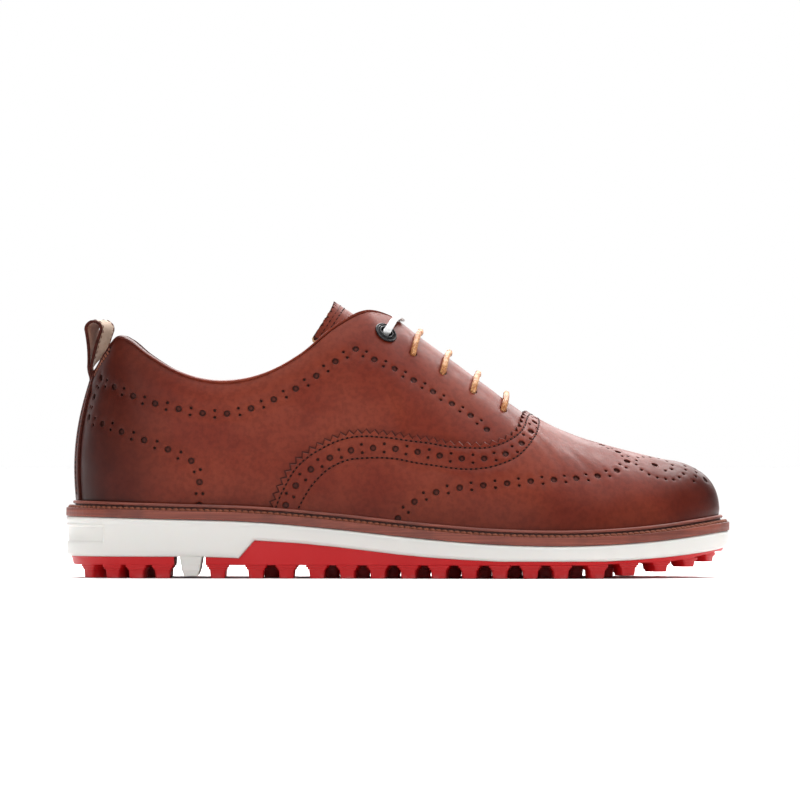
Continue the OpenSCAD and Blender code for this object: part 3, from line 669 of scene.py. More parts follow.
def moulded(name, base, rough, fine=2600, speck=0.12, subsurface=0.0):
    """Moulded rubber or foam skin with a faint texture, scuffed towards the ground."""
    look = Look(name)
    cloud = look.noise(45, 4)
    colour = look.blend(look.levels(cloud, 0.3, 0.75, 0, speck), base, dim(base, 0.72))
    near_ground = look.levels(look.axes(look.place)["Z"], 0.003, 0.0, 0, 0.35)
    dust = look.maths("MULTIPLY", near_ground, look.levels(look.noise(300, 4), 0.4, 0.65))
    colour = look.blend(dust, colour, dim(base, 0.5, 0.12))
    gloss = look.levels(cloud, 0.3, 0.7, rough - 0.06, rough + 0.08)
    bumps = [(look.noise(fine, 2), 0.12, 0.0001), (look.noise(500, 2), 0.06, 0.0003)]
    return look.finish(colour, gloss, bumps, {"Specular IOR Level": 0.3, "Subsurface Weight": subsurface,
                                              "Subsurface Scale": 0.002})


def waxed_cord():
    """Waxed round lace: braided strands with light wear on their crowns."""
    look = Look("waxed_cord")
    strands = look.cells(1500, look.scaled(1, 1, 0.7))
    colour = look.blend(look.levels(strands, 0.05, 0.5), srgb(216, 158, 98), srgb(150, 88, 42))
    colour = look.blend(look.levels(look.noise(260), 0.4, 0.7, 0, 0.6), colour, srgb(232, 186, 134))
    return look.finish(colour, 0.5, [(strands, 0.5, 0.0004)])


def woven(name, base):
    """Flat weave of fine yarns."""
    look = Look(name)
    warp, weft = [look.wave(look.place, 525, 0.6, bands) for bands in "XZ"]
    yarn = look.maths("MULTIPLY", warp, weft)
    colour = look.blend(yarn, dim(base, 0.7), base)
    return look.finish(colour, 0.85, [(yarn, 0.5, 0.0003)], {"Sheen Weight": 0.25})


def enamel():
    """Black enamelled eyelet metal, thin at the rims."""
    look = Look("black_enamel")
    chips = look.levels(look.noise(1600, 4), 0.62, 0.72, 0, 0.6)
    colour = look.blend(chips, srgb(24, 24, 26), srgb(92, 90, 88))
    gloss = look.levels(look.noise(800, 2), 0.3, 0.7, 0.24, 0.4)
    return look.finish(colour, gloss, [(look.noise(2500, 2), 0.12, 0.0001)], {"Metallic": 0.55})


def plain_metal(name, base):
    look = Look(name)
    brush = look.noise(300, place=look.scaled(1, 12, 12))
    colour = look.blend(brush, base, dim(base, 0.6))
    gloss = look.levels(brush, 0.3, 0.7, 0.28, 0.45)
    return look.finish(colour, gloss, [(brush, 0.1, 0.0002)], {"Metallic": 1.0})


def cork():
    look = Look("pressed_cork")
    crumbs = look.cells(500)
    colour = look.blend(look.levels(crumbs, 0.1, 0.6), srgb(190, 150, 100), srgb(96, 62, 36))
    return look.finish(colour, 0.85, [(crumbs, 0.4, 0.0008)])


def pale_floor():
    look = Look("pale_floor")
    cloud = look.levels(look.noise(3, 2), 0.3, 0.7, 0, 0.5)
    return look.finish(look.blend(cloud, (0.86, 0.86, 0.86), (0.88, 0.88, 0.88)), 0.9, [])


CALF = calf("upper_calf", srgb(103, 37, 24), srgb(42, 10, 6), srgb(126, 56, 38))
CALF_BACK = calf("backstay_calf", srgb(76, 28, 20), srgb(34, 10, 7), srgb(96, 42, 32), burnish=0.5)
CALF_EDGE = cut_edge("calf_edge", srgb(74, 32, 24))
WELT = welt_leather()
WELT_THREAD = thread("welt_thread", srgb(136, 76, 55))
SEAM_THREAD = thread("seam_thread", srgb(104, 46, 34))
# Near-black sunk blobs at the needle holes: painted shade.
NEEDLE_HOLE_SHADE = cut_edge("needle_hole_shade", srgb(26, 10, 8))
LINING = suede("lining_suede", srgb(196, 158, 116), srgb(166, 124, 84))
LOOP_INSIDE = suede("loop_suede", srgb(140, 84, 52), srgb(88, 48, 30))
LOOP_OUTSIDE = suede("loop_flesh_side", srgb(186, 160, 138), srgb(152, 124, 102))
PAD_FOAM = moulded("pad_foam", srgb(222, 206, 168), 0.85, fine=1800, speck=0.3)
BOARD = moulded("pressed_board", srgb(196, 168, 124), 0.85, fine=900, speck=0.5)
STIFFENER = moulded("stiffener", srgb(205, 184, 154), 0.7, fine=1200, speck=0.4)
TAPE = woven("backing_weave", srgb(84, 66, 58))
CORK = cork()
STEEL = plain_metal("shank_steel", srgb(176, 180, 184))
WASHER_METAL = plain_metal("washer_metal", srgb(150, 150, 146))
FOOTBED = calf("footbed_leather", srgb(142, 96, 62), srgb(96, 60, 38), srgb(166, 120, 84), 0.2, 0.55)
FOAM = moulded("midsole_foam", srgb(208, 206, 202), 0.5, speck=0.05, subsurface=0.08)
RED = moulded("outsole_rubber", srgb(182, 14, 20), 0.45)
CORD = waxed_cord()
WHITE_LACE = woven("white_weave", srgb(238, 238, 238))
ENAMEL = enamel()


# ---- Upper ----
TOOTH_PITCH = 3.8
VAMP_T = 1.45
RIDGE_F = 9.12
EDGE_ROW_IN = -2.75                 # from the pinked edge to its first row of stitches
QUARTER_TOP = 0.98
FACING_TOP = 0.985
EYELET_AT = (6.41, 0.808)
LACE_HOLES = 4
HOLE_T = 0.725
LACE_R = 1.35
BORE_R = LACE_R + 0.3


def pinked(path, side, out, back):
    """The path with triangular teeth along it, its two ends kept."""
    count = 2 * round(lengths(path, side)[-1] / TOOTH_PITCH)
    spots = dealt(path, side, count + 1)
    across = np.where(np.arange(count + 1) % 2, out, -back)
    across[0] = across[-1] = 0
    return beside(spots, side, across)


def straight(a, b, pitch=1.9):
    """Evenly spaced pattern points from a towards b, without b."""
    a, b = np.array(a, float), np.array(b, float)
    n = max(2, int(np.linalg.norm((b - a) * PATTERN) / pitch))
    return a + (b - a) * np.linspace(0, 1, n, endpoint=False)[:, None]


def dent(f, t, at, angle, long, wide):
    """Strength of a long soft fold centred at a pattern point; long and wide in mm."""
    x, y = (f - at[0]) * PATTERN[0], (t - at[1]) * PATTERN[1]
    a = math.radians(angle)
    along, across = x * math.cos(a) + y * math.sin(a), -x * math.sin(a) + y * math.cos(a)
    return np.exp(-(along / long) ** 2 - (across / wide) ** 2)


def vamp_relief(f, t):
    """Fine slanted wrinkles behind the toe and a slightly uneven lasted surface."""
    ripple = np.sin((f * 21 * 0.8 + t * 30) * 2 * np.pi / 5.2 + 0.8 * np.sin(f * 9))
    out = 0.07 * ripple * dent(f, t, (9.15, 0.62), 70, 14, 16)
    out -= 0.26 * dent(f, t, (8.95, 0.48), 118, 13, 2.4) + 0.2 * dent(f, t, (9.5, 0.5), 112, 12, 2.2)
    out += 0.12 * np.sin(f * 5.1) * np.sin(t * 9 + f)
    out += 1.9 * ramp(f, 10.7, 12.6) * np.sin(np.pi * np.clip(t, 0, 1)) ** 0.7
    return out * ramp(1 - t, 0.02, 0.12) * ramp(t, 0.02, 0.15)


def quarter_relief(f, t):
    """The padded collar swells above its seam, and the side sinks in soft folds below it."""
    seam = np.interp(f, COLLAR_LINE[:, 0], COLLAR_LINE[:, 1]) - 0.015
    s = np.clip((t - seam) / (FACING_TOP - seam), 0, 1)
    padded = 1 - ramp(f, 5.2, 6.1)
    out = 0.95 * np.sin(np.pi * s) ** 0.8 * padded * ramp(f, 0.1, 0.9)
    out -= 0.3 * np.exp(-((t - seam) / 0.03) ** 2) * padded
    out -= 0.55 * dent(f, t, (4.7, 0.63), -38, 17, 4.2) + 0.4 * dent(f, t, (5.15, 0.66), -50, 13, 3.2)
    out += 0.35 * dent(f, t, (4.95, 0.64), -44, 15, 3.2)
    out -= 0.25 * dent(f, t, (3.9, 0.55), -20, 18, 5)
    out += 0.1 * np.sin(f * 4.3 + 1) * np.sin(t * 8)
    out = np.maximum(out, -0.2 - 0.4 * (1 - ramp(t, 0.64, 0.7)))
    out -= 0.6 * ramp(f, 8.35, 8.7) * ramp(t, 0.55, 0.75)
    return out * ramp(t, 0.02, 0.2)


def hole_f(k):
    """Where the lace hole k lies along the facing."""
    return 6.81 + 0.505 * k


def medallion(panel):
    """Toe ornament: a large hole in a drop of small ones, with open arcs before and behind it."""
    panel.punch(11.17, 0.68, BIG)
    panel.punch(12.5, 0.49, BIG)
    rows = (
        (12, [(10.92, 0.77), (10.69, 0.66), (10.66, 0.59), (10.86, 0.51), (11.2, 0.48), (11.42, 0.485),
              (11.6, 0.524), (11.84, 0.584), (12.06, 0.662), (12.33, 0.754), (12.6, 0.81)]),
        (6, [(11.15, 0.82), (11.47, 0.86), (11.74, 0.86), (11.8, 0.8), (11.74, 0.72), (11.55, 0.635),
             (11.31, 0.6)]),
        (3, [(12.62, 0.68), (12.4, 0.62), (12.15, 0.536), (11.93, 0.463)]),
    )
    for count, points in rows:
        for f, t in dealt(through(points), panel.side, count + 1):
            panel.punch(f, t, SMALL, sides=9)


def vamp_half(side):
    """One side of the vamp: pinked edge, two stitch grooves, broguing and half the toe ornament."""
    teeth = pinked(EDGE, side, 0.5, 1.6)
    outline = np.vstack([straight((4.2, 0), (TOE, 0)), straight((TOE, 0), (TOE, 1)),
                         straight((TOE, 1), (RIDGE_F, 1)), teeth[:0:-1]])
    panel = Panel(side, outline)
    # The teeth's outline is darkened, partly as real edge dye and partly as painted shade at the cut edge;
    # the inset line just inside ends the darkening.
    panel.dark[0][-len(teeth) + 1:] = 0.6
    panel.extra[0][-len(teeth) + 2:-1] = 0.3
    inset = pinked(EDGE, side, -0.1, 2.0)[2:-2]
    for run in runs(inset, inside(outline, inset) & (inset[:, 1] > 0.02)):
        panel.add(run, 0, dark=0.05)
    panel.groove(beside(EDGE, side, EDGE_ROW_IN), 0.3, 0.6, dark=0.1)
    panel.groove(EDGE_ROW_2, 0.26, 0.6, dark=0.1)
    panel.perforate(BAND_LINE, 15, 1.85)
    for f, t in ((4.4, 0.075), (4.57, 0.055)):
        panel.punch(f, t, SMALL, sides=9)
    panel.perforate(WING_LINE, 11, 1.65)
    panel.perforate(WING_PEAK, 3, 1.5, first=False)
    medallion(panel)
    return panel.build(*leather(0.0, VAMP_T, vamp_relief))


def make_vamp():
    stack("vamp_leather", [vamp_half(s) for s in SIDES], slot="upper_leather", replaces=["vamp"],
          materials=[CALF, CALF_EDGE])


def quarter_outline():
    """Heel centre, along the sole, under the vamp's edge, up the facing and back along the top."""
    front = 9.06
    fs = np.linspace(4.3, front, 54)
    under = np.maximum(np.interp(fs, EDGE[:, 0], EDGE[:, 1]) - 0.15, 0)
    back = np.linspace(front, 0.02, 152)
    return np.vstack([straight((0.02, 0), (4.3, 0)), np.stack([fs, under], -1),
                      straight((front, under[-1]), (front, 1)),
                      np.stack([back, QUARTER_TOP + 0.02 * ramp(back, 6.5, 6.75)], -1),
                      straight((0.02, QUARTER_TOP), (0.02, 0))])


def quarter_half(side):
    """One side panel: broguing, lace holes, and the painted shadow that the vamp's teeth cast on it."""
    panel = Panel(side, quarter_outline())
    panel.perforate(COLLAR_LINE, 12, 1.6)
    panel.perforate(FACING_LINE, 7, 1.45, first=False)
    panel.perforate(COUNTER_LINE, 5, 1.6)
    panel.perforate(COUNTER_FRONT, 2, 1.5, first=False)
    panel.perforate(STRAP_LINE, 2, 1.1, first=False)
    # Painted shadow of the vamp's teeth: a dark, slightly sunk line just outside them, bounded by a plain
    # line further out.
    for out, back, dark in ((0.8, 1.3, 0.85), (1.6, 0.6, 0.0)):
        shadow = pinked(EDGE, side, out, back)[2:-2]
        for run in runs(shadow, inside(panel.outline, shadow) & (shadow[:, 1] > 0.02)):
            panel.add(run, 0.1 if dark else 0, dark=dark)
    panel.bore(*EYELET_AT, 3.2)
    for k in range(LACE_HOLES):
        panel.bore(hole_f(k), HOLE_T, BORE_R, sides=14)
    return panel.build(*leather(QUARTER_OUT, LEATHER_T - 0.1, quarter_relief))


def make_quarters():
    for side, node in ((LATERAL, "quarter_lateral"), (MEDIAL, "quarter_medial")):
        stack(node + "_leather", [quarter_half(side)], slot="upper_leather", replaces=[node],
              materials=[CALF, CALF_EDGE])


# ---- Stitching ----
def frames(path, side, depth, relief=None):
    """Points just under the leather's face along a path, their direction and the outward normal."""
    f, t = path[:, 0], path[:, 1]
    out = relief(f, t) if relief else 0
    p = last(around(f, side), t, depth - out)
    return p, unit(np.gradient(p, axis=0)), tangents(f, t, side)[2]


def capsules(centres, along, normals, long, r, rise=0.0, dip=0.0, sides=6, turn=0.0):
    """Closed stitches: short bowed threads lying on a surface."""
    across = np.cross(normals, along)
    a = math.radians(turn)
    cosine, sine = math.cos(a), math.sin(a)
    along, across = along * cosine + across * sine, across * cosine - along * sine
    n = len(centres)
    stations = ((-0.5, 0.35, -dip), (-0.36, 0.9, rise - dip * 0.45), (0, 1, rise),
                (0.36, 0.9, rise - dip * 0.45), (0.5, 0.35, -dip))
    angles = np.arange(sides) * 2 * np.pi / sides
    circle = (np.cos(angles)[:, None] * across[:, None] + np.sin(angles)[:, None] * normals[:, None])
    sections = [centres[:, None] + along[:, None] * long * s + normals[:, None] * h + r * k * circle
                for s, k, h in stations]
    points = np.stack(sections, 1).reshape(-1, 3)
    one = grid_faces(5, sides, close_m=True)
    one = [f[::-1] for f in one] + [list(range(sides)), list(range(5 * sides - 1, 4 * sides - 1, -1))]
    size = 5 * sides
    return points, [[i + k * size for i in face] for k in range(n) for face in one]


def seam(path, side, depth, relief=None, pitch=2.3, long=1.7, r=0.25, start=1.5, end=1.5):
    """A row of stitches, each bowed out of its two needle holes, and near-black blobs at the holes between
    them as painted shade.
    """
    count = max(2, round((lengths(path, side)[-1] - start - end) / pitch)) + 1
    spots = dealt(path, side, 2 * count + 1, start, end)
    p, along, n = frames(spots, side, depth, relief)
    threads = capsules(p[1::2], along[1::2], n[1::2], long, r, rise=0.1, dip=0.3)
    holes = capsules(p[::2], along[::2], n[::2], 1.4, 0.58, rise=-0.2, dip=0.15)
    return threads, holes


def make_seams(name, rows, slot="upper_leather", thread_material=SEAM_THREAD, body=ROOT):
    """Stitch rows of one seam as one piece: threads, and the needle holes as near-black painted shade."""
    threads, holes = joined([a for a, _ in rows]), joined([b for _, b in rows])
    slots = [0] * len(threads[1]) + [1] * len(holes[1])
    make(name, joined([threads, holes]), slot, [thread_material, NEEDLE_HOLE_SHADE], body=body, face_slots=slots)


def make_upper_stitching():
    rows = []
    for side in SIDES:
        rows.append(seam(beside(EDGE, side, EDGE_ROW_IN), side, 0.2, vamp_relief, pitch=2.25, end=3))
        rows.append(seam(EDGE_ROW_2, side, 0.18, vamp_relief, pitch=2.25, end=3))
    make_seams("vamp_edge_stitching", rows)
    rows = []
    for side in SIDES:
        for t in (0.968, 0.945):
            fs = np.linspace(0.3, 1.4, 60)
            path = np.stack([fs, np.full(60, t) - 0.004 * (fs - 0.4)], -1)
            rows.append(seam(path, side, QUARTER_OUT, quarter_relief, pitch=1.9, r=0.42))
    make_seams("heel_collar_stitching", rows, thread_material=WELT_THREAD)


# ---- Heel strip, collar roll and loop ----
def make_backstay():
    """Strip over the heel seam, with rolled long edges and a stitch row down each side."""
    us = np.linspace(-0.42, 0.42, 25)
    crown = lambda u, t: 0.55 * np.abs(u / 0.42) ** 4 + 0.25 * np.exp(-((np.abs(u) - 0.27) / 0.05) ** 2)
    part = sheet(us, 0.1, 0.985, 60, crown, lambda u, t: QUARTER_OUT - 0.1)
    stack("backstay_leather", [part], slot="backstay_leather", replaces=["backstay"],
          materials=[CALF_BACK, CALF_EDGE])
    ts = np.linspace(0.13, 0.93, 200)
    rows = [seam(np.stack([np.full(200, 0.27), ts], -1), side, 0.3, pitch=2.4, long=1.9, r=0.26)
            for side in SIDES]
    make_seams("backstay_stitching", rows, slot="backstay_leather")


def make_collar_roll():
    """Thin leather rolled over the collar's edge, flatter on top, with a bead along its inner side."""
    us = np.linspace(-6.7, 6.7, 269)
    sink = 1.1 * ramp(np.abs(us), 6.0, 6.7)
    edge = last(us, QUARTER_TOP, 0.0)[:, 2] - last(us, 1.0, 0.0)[:, 2]
    swell = 1 + 0.04 * np.sin(us * 5)
    sections = []
    for angle in np.arange(20) * 2 * np.pi / 20:
        d = 2.9 - 2.7 * math.copysign(abs(math.cos(angle)) ** 0.8, math.cos(angle))
        h = 0.35 + 0.85 * math.copysign(abs(math.sin(angle)) ** 0.9, math.sin(angle))
        p = last(us, 1.0, d)
        p[:, 2] += edge + h * swell - sink
        sections.append(p)
    roll = facing_out(tube(np.stack(sections, 1)))
    make("collar_roll", roll, "binding_leather", [CALF], replaces=["collar_binding"],
         shade=np.zeros(len(roll[0])))
    mid = last(us, 1.0, 5.3)
    mid[:, 2] += edge + 0.75 - sink
    make("collar_bead", pipe(mid, 0.34, 8), "binding_leather", [CALF_EDGE])


def pipe(points, r, sides):
    """Round tube along points with frames carried without twist."""
    points = np.asarray(points, float)
    d = unit(np.gradient(points, axis=0))
    side = np.cross(d[0], [0.3, 0.2, 0.9])
    a = np.arange(sides) * 2 * np.pi / sides
    r = np.broadcast_to(r, len(points))
    sections = []
    for p, v, radius in zip(points, d, r):
        side = unit(side - v * side.dot(v))
        sections.append(p + radius * (np.cos(a)[:, None] * side + np.sin(a)[:, None] * np.cross(v, side)))
    return facing_out(tube(np.array(sections)))


LOOP_FOOT = np.array([-138.6, 94.2])
LOOP_TOP = np.array([-136.9, 111.6])
LOOP_R = 4.1
LOOP_T = 1.3


def heel_back(z):
    """x of the heel strip's face at height z."""
    p = last(0.0, np.linspace(0.5, 0.99, 200), 0.0)
    return np.interp(z, p[:, 2], p[:, 0])


def loop_line():
    """Side view of the strap's middle line: out of the collar, round the teardrop, down over the strip."""
    r, foot_r = LOOP_R - LOOP_T / 2, 0.85
    away = LOOP_TOP - LOOP_FOOT
    a = math.atan2(away[1], away[0])
    half = math.acos((r - foot_r) / np.linalg.norm(away))
    angles = np.linspace(a - math.pi + half, a + math.pi - half, 36)
    arc = LOOP_TOP + r * np.stack([np.cos(angles), np.sin(angles)], -1)
    steps = np.linspace(0, 1, 14)[:-1, None]
    bow = 4 * steps * (1 - steps)
    inner_foot, outer_foot = LOOP_FOOT + [0.9, 0], LOOP_FOOT - [0.35, 0]
    up = inner_foot + (arc[0] - inner_foot) * steps - bow * [0.55, 0]
    down = arc[-1] + (outer_foot - arc[-1]) * steps + bow * [0.5, 0]
    return np.vstack([[inner_foot + [0.8, -3.5]], up, arc, down[1:], [outer_foot]])


def make_loop_tail():
    """Where the strap's outer end is sewn down over the heel strip."""
    z = np.linspace(94.4, 84.5, 16)
    settle = ramp(z, 94, 86) ** 1.3
    face = (LOOP_FOOT[0] - 0.9) * (1 - settle) + (heel_back(z) + 0.3) * settle
    sections = []
    for y, h in ((-5.9, 0.25), (-5.4, 0), (0, -0.02), (5.4, 0), (5.9, 0.25), (5.9, 1.3), (-5.9, 1.3)):
        sections.append(np.stack([face + h + 0.012 * y * y * settle, RIDGE_Y + y + 0 * z, z], -1))
    tail = facing_out(tube(np.stack(sections, 1)))
    make("pull_loop_tail", tail, "loop_leather", [CALF_BACK], shade=np.zeros(len(tail[0])))


LOOP_HALF = 6.0
STRAP_SECTION = [(-6, 0.35), (-5.75, 0.58), (-5.2, 0.65), (-2, 0.65), (2, 0.65), (5.2, 0.65), (5.75, 0.58),
                 (6, 0.35), (6, -0.35), (5.75, -0.58), (5.2, -0.65), (2, -0.65), (-2, -0.65), (-5.2, -0.65),
                 (-5.75, -0.58), (-6, -0.35)]
STRAP_FACES = ({2, 3, 4, 5}, {10, 11, 12, 13})    # the section's points on the flesh side and on the inside


def loop_place(line, out, y, h):
    """Points y across the strap and h off its middle line; it twists about its lateral edge."""
    twist = 0.48 * ramp(line[:, 1], 93.5, 103)
    p = line + out * h
    x = p[:, 0] + (y + LOOP_HALF) * np.sin(twist)
    return np.stack([x, RIDGE_Y - LOOP_HALF + (y + LOOP_HALF) * np.cos(twist), p[:, 1]], -1)


def make_loop():
    """The strap, folded so that its two ends meet at the heel, a little twisted at the top."""
    line = loop_line()
    d = unit(np.gradient(line, axis=0))
    out = np.stack([d[:, 1], -d[:, 0]], -1)
    strap = tube(np.stack([loop_place(line, out, y, h) for y, h in STRAP_SECTION], 1))
    slots = []
    for face in strap[1]:
        js = {i % len(STRAP_SECTION) for i in face}
        slots.append(0 if js <= STRAP_FACES[0] else 1 if js <= STRAP_FACES[1] else 2)
    make("pull_loop_strap", facing_out(strap), "loop_leather", [LOOP_OUTSIDE, LOOP_INSIDE, CALF_EDGE],
         body="pull_loop", replaces=["pull_loop"], face_slots=slots)
    rows = []
    keep = line[:, 1] > 97
    for y in (-4.6, 4.6):
        q = loop_place(line, out, y, 0.66)[keep]
        s = travelled(q)
        at = np.linspace(1, s[-1] - 1, int(s[-1] / 2.3))
        q, normal = sampled(at, s, q), sampled(at, s, out[keep])
        normal = unit(np.stack([normal[:, 0], 0 * at, normal[:, 1]], -1))
        rows.append(capsules(q, unit(np.gradient(q, axis=0)), normal, 1.7, 0.22, rise=0.06, dip=0.2))
    make("pull_loop_stitching", joined(rows), "loop_leather", [SEAM_THREAD], body="pull_loop")


# ---- Linings and padding ----
def pad_depth(u, t):
    """How far the collar's padding pushes the lining in."""
    s = np.sin(np.pi * np.clip((t - 0.7) / 0.3, 0, 1))
    return 2.4 * (1 - ramp(fold(u), 4.2, 5.9)) * np.maximum(s, 0) ** 1.5


def lining_depth(u, t):
    """Depth of the lining's outer face, with room for the heel counter."""
    return 3.8 + 0.7 * (1 - ramp(fold(u), 3.5, 4.6)) + pad_depth(u, t)


SEAM_EDGE = [(6, 0), (6.5, 0.1), (7, 0.38), (7.6, 0.5), (8.4, 0.6), (8.8, 0.82), (9.1, 1)]


LINING_T = 0.8
LINING_FACES = (lambda f, t, u, extra: lining_depth(u, t),
                lambda f, t, u: lining_depth(u, t) + LINING_T - 0.05 * np.sin(fold(u) * 7) * np.sin(t * 11))


def lining_half(side):
    """One side's suede lining: smooth where it is glued, with a faint grain on the face that is seen."""
    fs = np.arange(6.15, 8.7, 0.09)
    low = curve(SEAM_EDGE, fs) + 0.02
    back = np.arange(8.7, 0, -0.08)
    top = np.where(back < COLLAR_END, QUARTER_TOP, 1.0)
    outline = np.vstack([straight((0, 0), (6.15, 0)), np.stack([fs, low], -1),
                         straight((8.7, low[-1]), (8.7, 1)), np.stack([back, top], -1),
                         straight((0, QUARTER_TOP), (0, 0))])
    panel = Panel(side, outline)
    panel.through.append(panel.circle(*EYELET_AT, 3.15, 18))
    for k in range(LACE_HOLES):
        panel.through.append(panel.circle(hole_f(k), HOLE_T, BORE_R, 12))
    for hole in panel.through:
        panel.add(hole, 0, closed=True)
    return panel.build(*LINING_FACES, spacing=2.4)


def make_linings():
    """Suede quarter lining with its holes, and the vamp's drill lining."""
    stack("quarter_suede_lining", [lining_half(s) for s in SIDES], slot="lining_leather",
          replaces=["quarter_lining"], materials=[LINING, LINING])
    half = np.concatenate([np.linspace(6.2, 9.1, 30)[:-1], np.linspace(9.1, TOE, 34)])
    us = np.concatenate([half, TURN - half[-2::-1]])
    high = lambda u: np.where(fold(u) >= 9.1, 1.0, curve(SEAM_EDGE, fold(u)) - 0.005)
    drill = sheet(us, 0.0, high, 20, lining_depth, lambda u, t: lining_depth(u, t) + LINING_T)
    stack("vamp_drill_lining", [drill], slot="lining_leather", replaces=["vamp_lining"],
          materials=[LINING, LINING])


def make_collar_foam():
    us = np.linspace(-5.8, 5.8, 140)
    shape = lambda u, t: np.clip((t - 0.72) / 0.24, 0, 1)
    bulge = lambda u, t: np.sin(np.pi * shape(u, t)) ** 0.6
    outer = lambda u, t: 3.0 + 0.25 * (1 - bulge(u, t))
    inner = lambda u, t: 3.0 + 0.3 + (lining_depth(u, t) - 3.8) * bulge(u, t)
    part = sheet(us, 0.72, 0.96, 12, outer, inner)
    foam = stack("collar_foam", [part], slot="padding_foam", replaces=["collar_padding"],
                 materials=[PAD_FOAM, PAD_FOAM])


# ---- Sole ----
def beyond(value, normal, reach, z):
    """Points a reach outside the last's outline, at height z."""
    return np.stack([value[:, 0] + normal[:, 0] * reach, value[:, 1] + normal[:, 1] * reach, z], -1)


def slab(half, rings):
    """Sole layer: rings from the bottom up, each a reach and a height; half is its run from heel to toe."""
    half = np.asarray(half, float)
    heel, toe, m = half[0] == 0, half[-1] == TOE, len(half)
    us = np.concatenate([half, (TURN - half[::-1])[1 if toe else 0:m - 1 if heel else m]])
    n = len(us)
    value, normal = ring(us)[0], outward(us)
    points = []
    for reach, height in rings:
        r = reach(fold(us), value[:, 0]) if callable(reach) else np.full(n, float(reach))
        points.append(beyond(value, normal, r, height(value[:, 0])))
    faces = [f[::-1] for f in grid_faces(len(rings), n, close_m=True)]
    top = (len(rings) - 1) * n

    def opposite(i):
        shared = (i == 0 and heel) or (i == m - 1 and toe)
        return i if shared else 2 * m - 1 - i - (1 if toe else 0)

    for i in range(m - 1):
        cap = list(dict.fromkeys([i, i + 1, opposite(i + 1), opposite(i)]))
        faces += [cap[::-1], [k + top for k in cap]]
    return np.vstack(points), faces


def sole_top(up):
    return lambda x: curve(SOLE_TOP, x) + up


STEP_FOOT, STEP_TOP = -70.8, -63.8
UNDER = np.array([(-150, 9.7), (-90, 9.7), (-74, 9.2), (STEP_FOOT, 9.0), (STEP_TOP, 17.0), (-44, 15.8),
                  (-26, 14), (1, 10.8), (14, 9.55), (28, 8.6), (46, 7.7), (92, 7.7), (104, 8.3), (118, 9.4),
                  (127, 10.4), (136, 11.6), (141, 12.6), (146, 14.2)])


def between(k, up=0.0):
    """Height a part k of the way from the midsole's underside, with its sharp step, to its top."""
    return lambda x: np.interp(x, UNDER[:, 0], UNDER[:, 1]) * (1 - k) + curve(SOLE_TOP, x) * k + up


def f_at(x):
    """Folded position where the sole's edge reaches x."""
    fs = np.linspace(0, TOE, 4000)
    return float(np.interp(x, ring(fs)[0][:, 0], fs))


def tread(x):
    """Height of the lugs' tips, which rise towards the toe."""
    return max(float(curve(TREAD, x)), 0.0)


def lug_height(x):
    return 5.9 - 2.4 * float(ramp(x, 90, 130))


FULL = np.sort(np.concatenate([np.linspace(0, 2.4, 97)[:-1], np.linspace(2.4, 11.6, 150)[:-1],
                               np.linspace(11.6, TOE, 41), [f_at(STEP_FOOT), f_at(STEP_TOP)]]))


def block(x, y, turn, sections):
    """Moulded block of rounded-rectangle sections: (height, half length, half width)."""
    a = math.radians(turn)
    rings = []
    for z, hx, hy in sections:
        r = min(0.9, hx * 0.4)
        px, py = hx - r, hy - r
        ring_points = []
        for cx, cy, start in ((px, py, 0), (-px, py, 90), (-px, -py, 180), (px, -py, 270)):
            for step in (0, 30, 60, 90):
                b = math.radians(start + step)
                qx, qy = cx + r * math.cos(b), cy + r * math.sin(b)
                ring_points.append((x + qx * math.cos(a) - qy * math.sin(a),
                                    y + qx * math.sin(a) + qy * math.cos(a), z))
        rings.append(ring_points)
    return facing_out(tube(np.array(rings)))


def lug(x, y, turn, length):
    """Stepped lug: wide flange, middle step, tapering stem with a softened tip."""
    high, z, w, l = lug_height(x), tread(x), 3.15, length / 2
    steps = [(0.0, w - 0.3, l - 0.35), (0.3, w, l), (high * 0.66, w + 0.4, l + 0.15),
             (high * 0.67, w + 0.95, l + 0.4), (high * 0.83, w + 1.0, l + 0.45),
             (high * 0.84, w + 1.7, l + 0.6), (high + 0.6, w + 1.75, l + 0.65)]
    return block(x, y, turn, [(z + h, a, b) for h, a, b in steps])


def edge_lugs(x, inset=3.6, length=9.0):
    """A lug on each side of the sole, turned along its edge."""
    found = []
    for s in (1, -1):
        u = s * f_at(x)
        value, slope = ring(u)
        p = value[:2] - outward(u) * inset
        found.append(lug(p[0], p[1], math.degrees(math.atan2(slope[1], slope[0])), length))
    return found


def inner_lugs(x, count, length=8.0):
    """Lugs across the sole, between those at its edges."""
    low, high = [ring(s * f_at(x))[0][1] - outward(s * f_at(x))[1] * 14 for s in (1, -1)]
    return [lug(x, low + (high - low) * (k + 0.5) / count, 0, length) for k in range(count)]


def plate(half, reach):
    """Rubber plate with softened lower edge."""
    bottom = lambda up: (lambda x: np.array([tread(v) + lug_height(v) for v in x]) + up)
    rise = lambda k: (lambda x: bottom(0)(x) * (1 - k) + between(0, -0.1)(x) * k)
    return slab(half, [(reach - 0.6, bottom(0)), (reach - 0.15, bottom(0.25)), (reach, rise(0.2)),
                       (2.5, rise(0.85)), (2.62, rise(0.95)), (2.6, between(0, -0.1))])


LUG_START, LUG_PITCH = -63.2, 13.6
HEEL_PAD_FRONT, FOREFOOT_REAR = -99.7, -85.7


